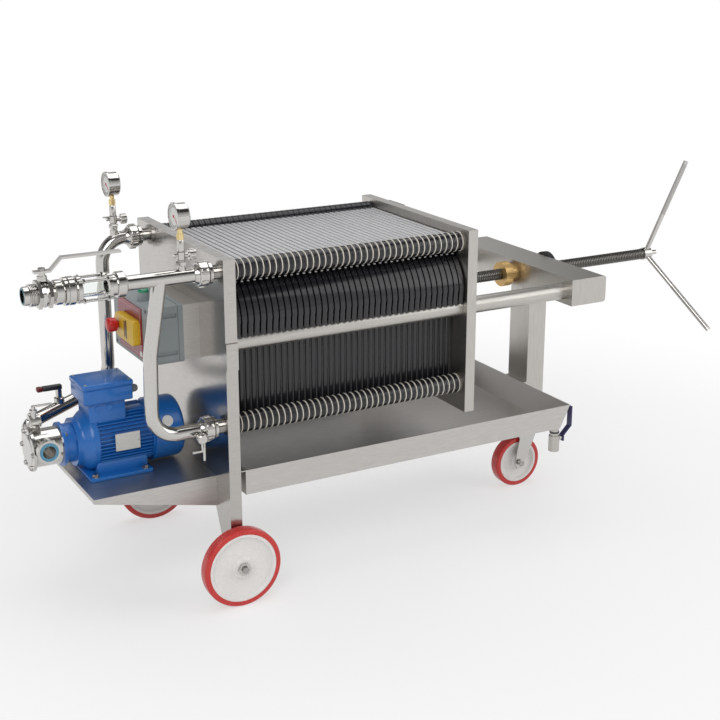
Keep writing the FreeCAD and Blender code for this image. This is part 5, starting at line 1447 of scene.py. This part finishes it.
@dataclass
class Studio:
    """Floor, lamps, world and camera."""

    eye: Vector = field(default_factory=lambda: Vector((-1.7486, -3.0458, 1.5734)))
    yaw: float = 0.509
    pitch: float = 0.308
    lens: float = 68.25
    floor_white: float = 0.55

    def build(self) -> None:
        """A pale floor, soft light and the camera."""
        floor = new_piece("floor", [Vector((-30, -30, 0)), Vector((30, -30, 0)), Vector((30, 30, 0)), Vector((-30, 30, 0))],
                          [[0, 1, 2, 3]], False)
        floor.data.materials.append(self.floor_material())
        self.world()
        self.lamp("key", Vector((-2.6, -3.2, 3.4)), 2.6, 85)
        self.lamp("fill", Vector((2.8, -2.4, 2.6)), 3.0, 45)
        self.lamp("top", Vector((0.2, 0.6, 3.6)), 3.2, 60)
        camera = bpy.data.cameras.new("camera")
        camera.lens = self.lens
        camera.sensor_width = 36
        viewer = bpy.data.objects.new("camera", camera)
        forward = Vector((math.sin(self.yaw) * math.cos(self.pitch), math.cos(self.yaw) * math.cos(self.pitch),
                          -math.sin(self.pitch)))
        viewer.rotation_euler = forward.to_track_quat("-Z", "Y").to_euler()
        viewer.location = self.eye
        bpy.context.scene.collection.objects.link(viewer)
        bpy.context.scene.camera = viewer
        bpy.context.scene.view_settings.view_transform = "Standard"

    def seen(self, tree: bpy.types.ShaderNodeTree) -> bpy.types.NodeSocket:
        """A mask that is 1 for rays that look at the backdrop straight, by a mirror or through glass."""
        path = tree.nodes.new("ShaderNodeLightPath")
        mask = path.outputs["Is Camera Ray"]
        for label in ("Is Glossy Ray", "Is Transmission Ray"):
            either = tree.nodes.new("ShaderNodeMath")
            either.operation = "MAXIMUM"
            tree.links.new(mask, either.inputs[0])
            tree.links.new(path.outputs[label], either.inputs[1])
            mask = either.outputs["Value"]
        return mask

    def floor_material(self) -> bpy.types.Material:
        """A floor that keeps a soft shadow by the press and is plain white further out."""
        material = bpy.data.materials.new("floor")
        material.use_nodes = True
        tree = material.node_tree
        nodes, links = tree.nodes, tree.links
        shader = nodes["Principled BSDF"]
        shader.inputs["Base Color"].default_value = (0.9, 0.9, 0.9, 1)
        shader.inputs["Roughness"].default_value = 0.7
        shader.inputs["Specular IOR Level"].default_value = 0.1
        place = nodes.new("ShaderNodeTexCoord")
        far = nodes.new("ShaderNodeVectorMath")
        far.operation = "LENGTH"
        links.new(place.outputs["Object"], far.inputs[0])
        fade = nodes.new("ShaderNodeMapRange")
        fade.interpolation_type = "SMOOTHSTEP"
        fade.inputs["From Min"].default_value = 0.7
        fade.inputs["From Max"].default_value = 2.2
        fade.inputs["To Min"].default_value = self.floor_white
        fade.inputs["To Max"].default_value = 1.0
        links.new(far.outputs["Value"], fade.inputs["Value"])
        both = nodes.new("ShaderNodeMath")
        both.operation = "MULTIPLY"
        links.new(fade.outputs["Result"], both.inputs[0])
        links.new(self.seen(tree), both.inputs[1])
        white = nodes.new("ShaderNodeEmission")
        mix = nodes.new("ShaderNodeMixShader")
        links.new(both.outputs["Value"], mix.inputs["Fac"])
        links.new(shader.outputs["BSDF"], mix.inputs[1])
        links.new(white.outputs["Emission"], mix.inputs[2])
        links.new(mix.outputs["Shader"], nodes["Material Output"].inputs["Surface"])
        return material

    def world(self) -> None:
        """White at the horizon and darker overhead, with soft dark screens that give the metal its contrast."""
        world = bpy.data.worlds.new("studio")
        world.use_nodes = True
        tree = world.node_tree
        nodes, links = tree.nodes, tree.links
        nodes.clear()
        place = nodes.new("ShaderNodeTexCoord")
        split = nodes.new("ShaderNodeSeparateXYZ")
        links.new(place.outputs["Generated"], split.inputs["Vector"])
        shade = nodes.new("ShaderNodeMapRange")
        shade.interpolation_type = "SMOOTHSTEP"
        for label, value in (("From Min", 0.0), ("From Max", 0.7), ("To Min", 1.0), ("To Max", 0.28)):
            shade.inputs[label].default_value = value
        links.new(split.outputs["Z"], shade.inputs["Value"])
        screens = nodes.new("ShaderNodeTexNoise")
        screens.inputs["Scale"].default_value = 2.2
        screens.inputs["Detail"].default_value = 0.0
        links.new(place.outputs["Generated"], screens.inputs["Vector"])
        dim = nodes.new("ShaderNodeMapRange")
        dim.interpolation_type = "SMOOTHSTEP"
        for label, value in (("From Min", 0.42), ("From Max", 0.56), ("To Min", 0.10), ("To Max", 0.90)):
            dim.inputs[label].default_value = value
        links.new(screens.outputs["Fac"], dim.inputs["Value"])
        above = nodes.new("ShaderNodeMapRange")
        above.interpolation_type = "SMOOTHSTEP"
        above.inputs["From Min"].default_value = 0.02
        above.inputs["From Max"].default_value = 0.12
        links.new(split.outputs["Z"], above.inputs["Value"])
        blend = nodes.new("ShaderNodeMix")
        blend.inputs["A"].default_value = 1.0
        links.new(above.outputs["Result"], blend.inputs["Factor"])
        links.new(dim.outputs["Result"], blend.inputs["B"])
        strength = nodes.new("ShaderNodeMath")
        strength.operation = "MULTIPLY"
        links.new(blend.outputs["Result"], strength.inputs[0])
        links.new(shade.outputs["Result"], strength.inputs[1])
        paint = nodes.new("ShaderNodeBackground")
        paint.inputs["Color"].default_value = (1, 1, 1, 1)
        links.new(strength.outputs["Value"], paint.inputs["Strength"])
        out = nodes.new("ShaderNodeOutputWorld")
        links.new(paint.outputs["Background"], out.inputs["Surface"])
        bpy.context.scene.world = world

    def lamp(self, name: str, place: Vector, size: float, power: float) -> None:
        """A square soft box that looks at the press."""
        light = bpy.data.lights.new(name, "AREA")
        light.size = size
        light.energy = power
        holder = bpy.data.objects.new(name, light)
        holder.location = place
        holder.rotation_euler = (Vector((0, 0, 0.5)) - place).to_track_quat("-Z", "Y").to_euler()
        bpy.context.scene.collection.objects.link(holder)


def main() -> None:
    """Build every sub-assembly, then the studio."""
    dress_nodes()
    PlatePack().build()
    ScrewThread().build()
    Wheel("near_wheel", Body.WHEEL_NEAR, "wheel_tread_near", "wheel_core_near", 26 * MM, 10.2 * MM).build()
    Wheel("far_wheel", Body.WHEEL_FAR, "wheel_tread_far", "wheel_core_far", 26 * MM, 10.2 * MM).build()
    Wheel("caster", Body.CASTER_WHEEL, "caster_tread", "caster_core", 22 * MM, 6.2 * MM).build()
    Gauges().build()
    for part in (RingNuts, SightGlass, OutletValve, SamplingCocks, PortCock, FeedCock, Motor, Pump, SwitchBox, Spindle, RunningGear):
        part().build()
    Studio().build()


if __name__ == "__main__":
    main()
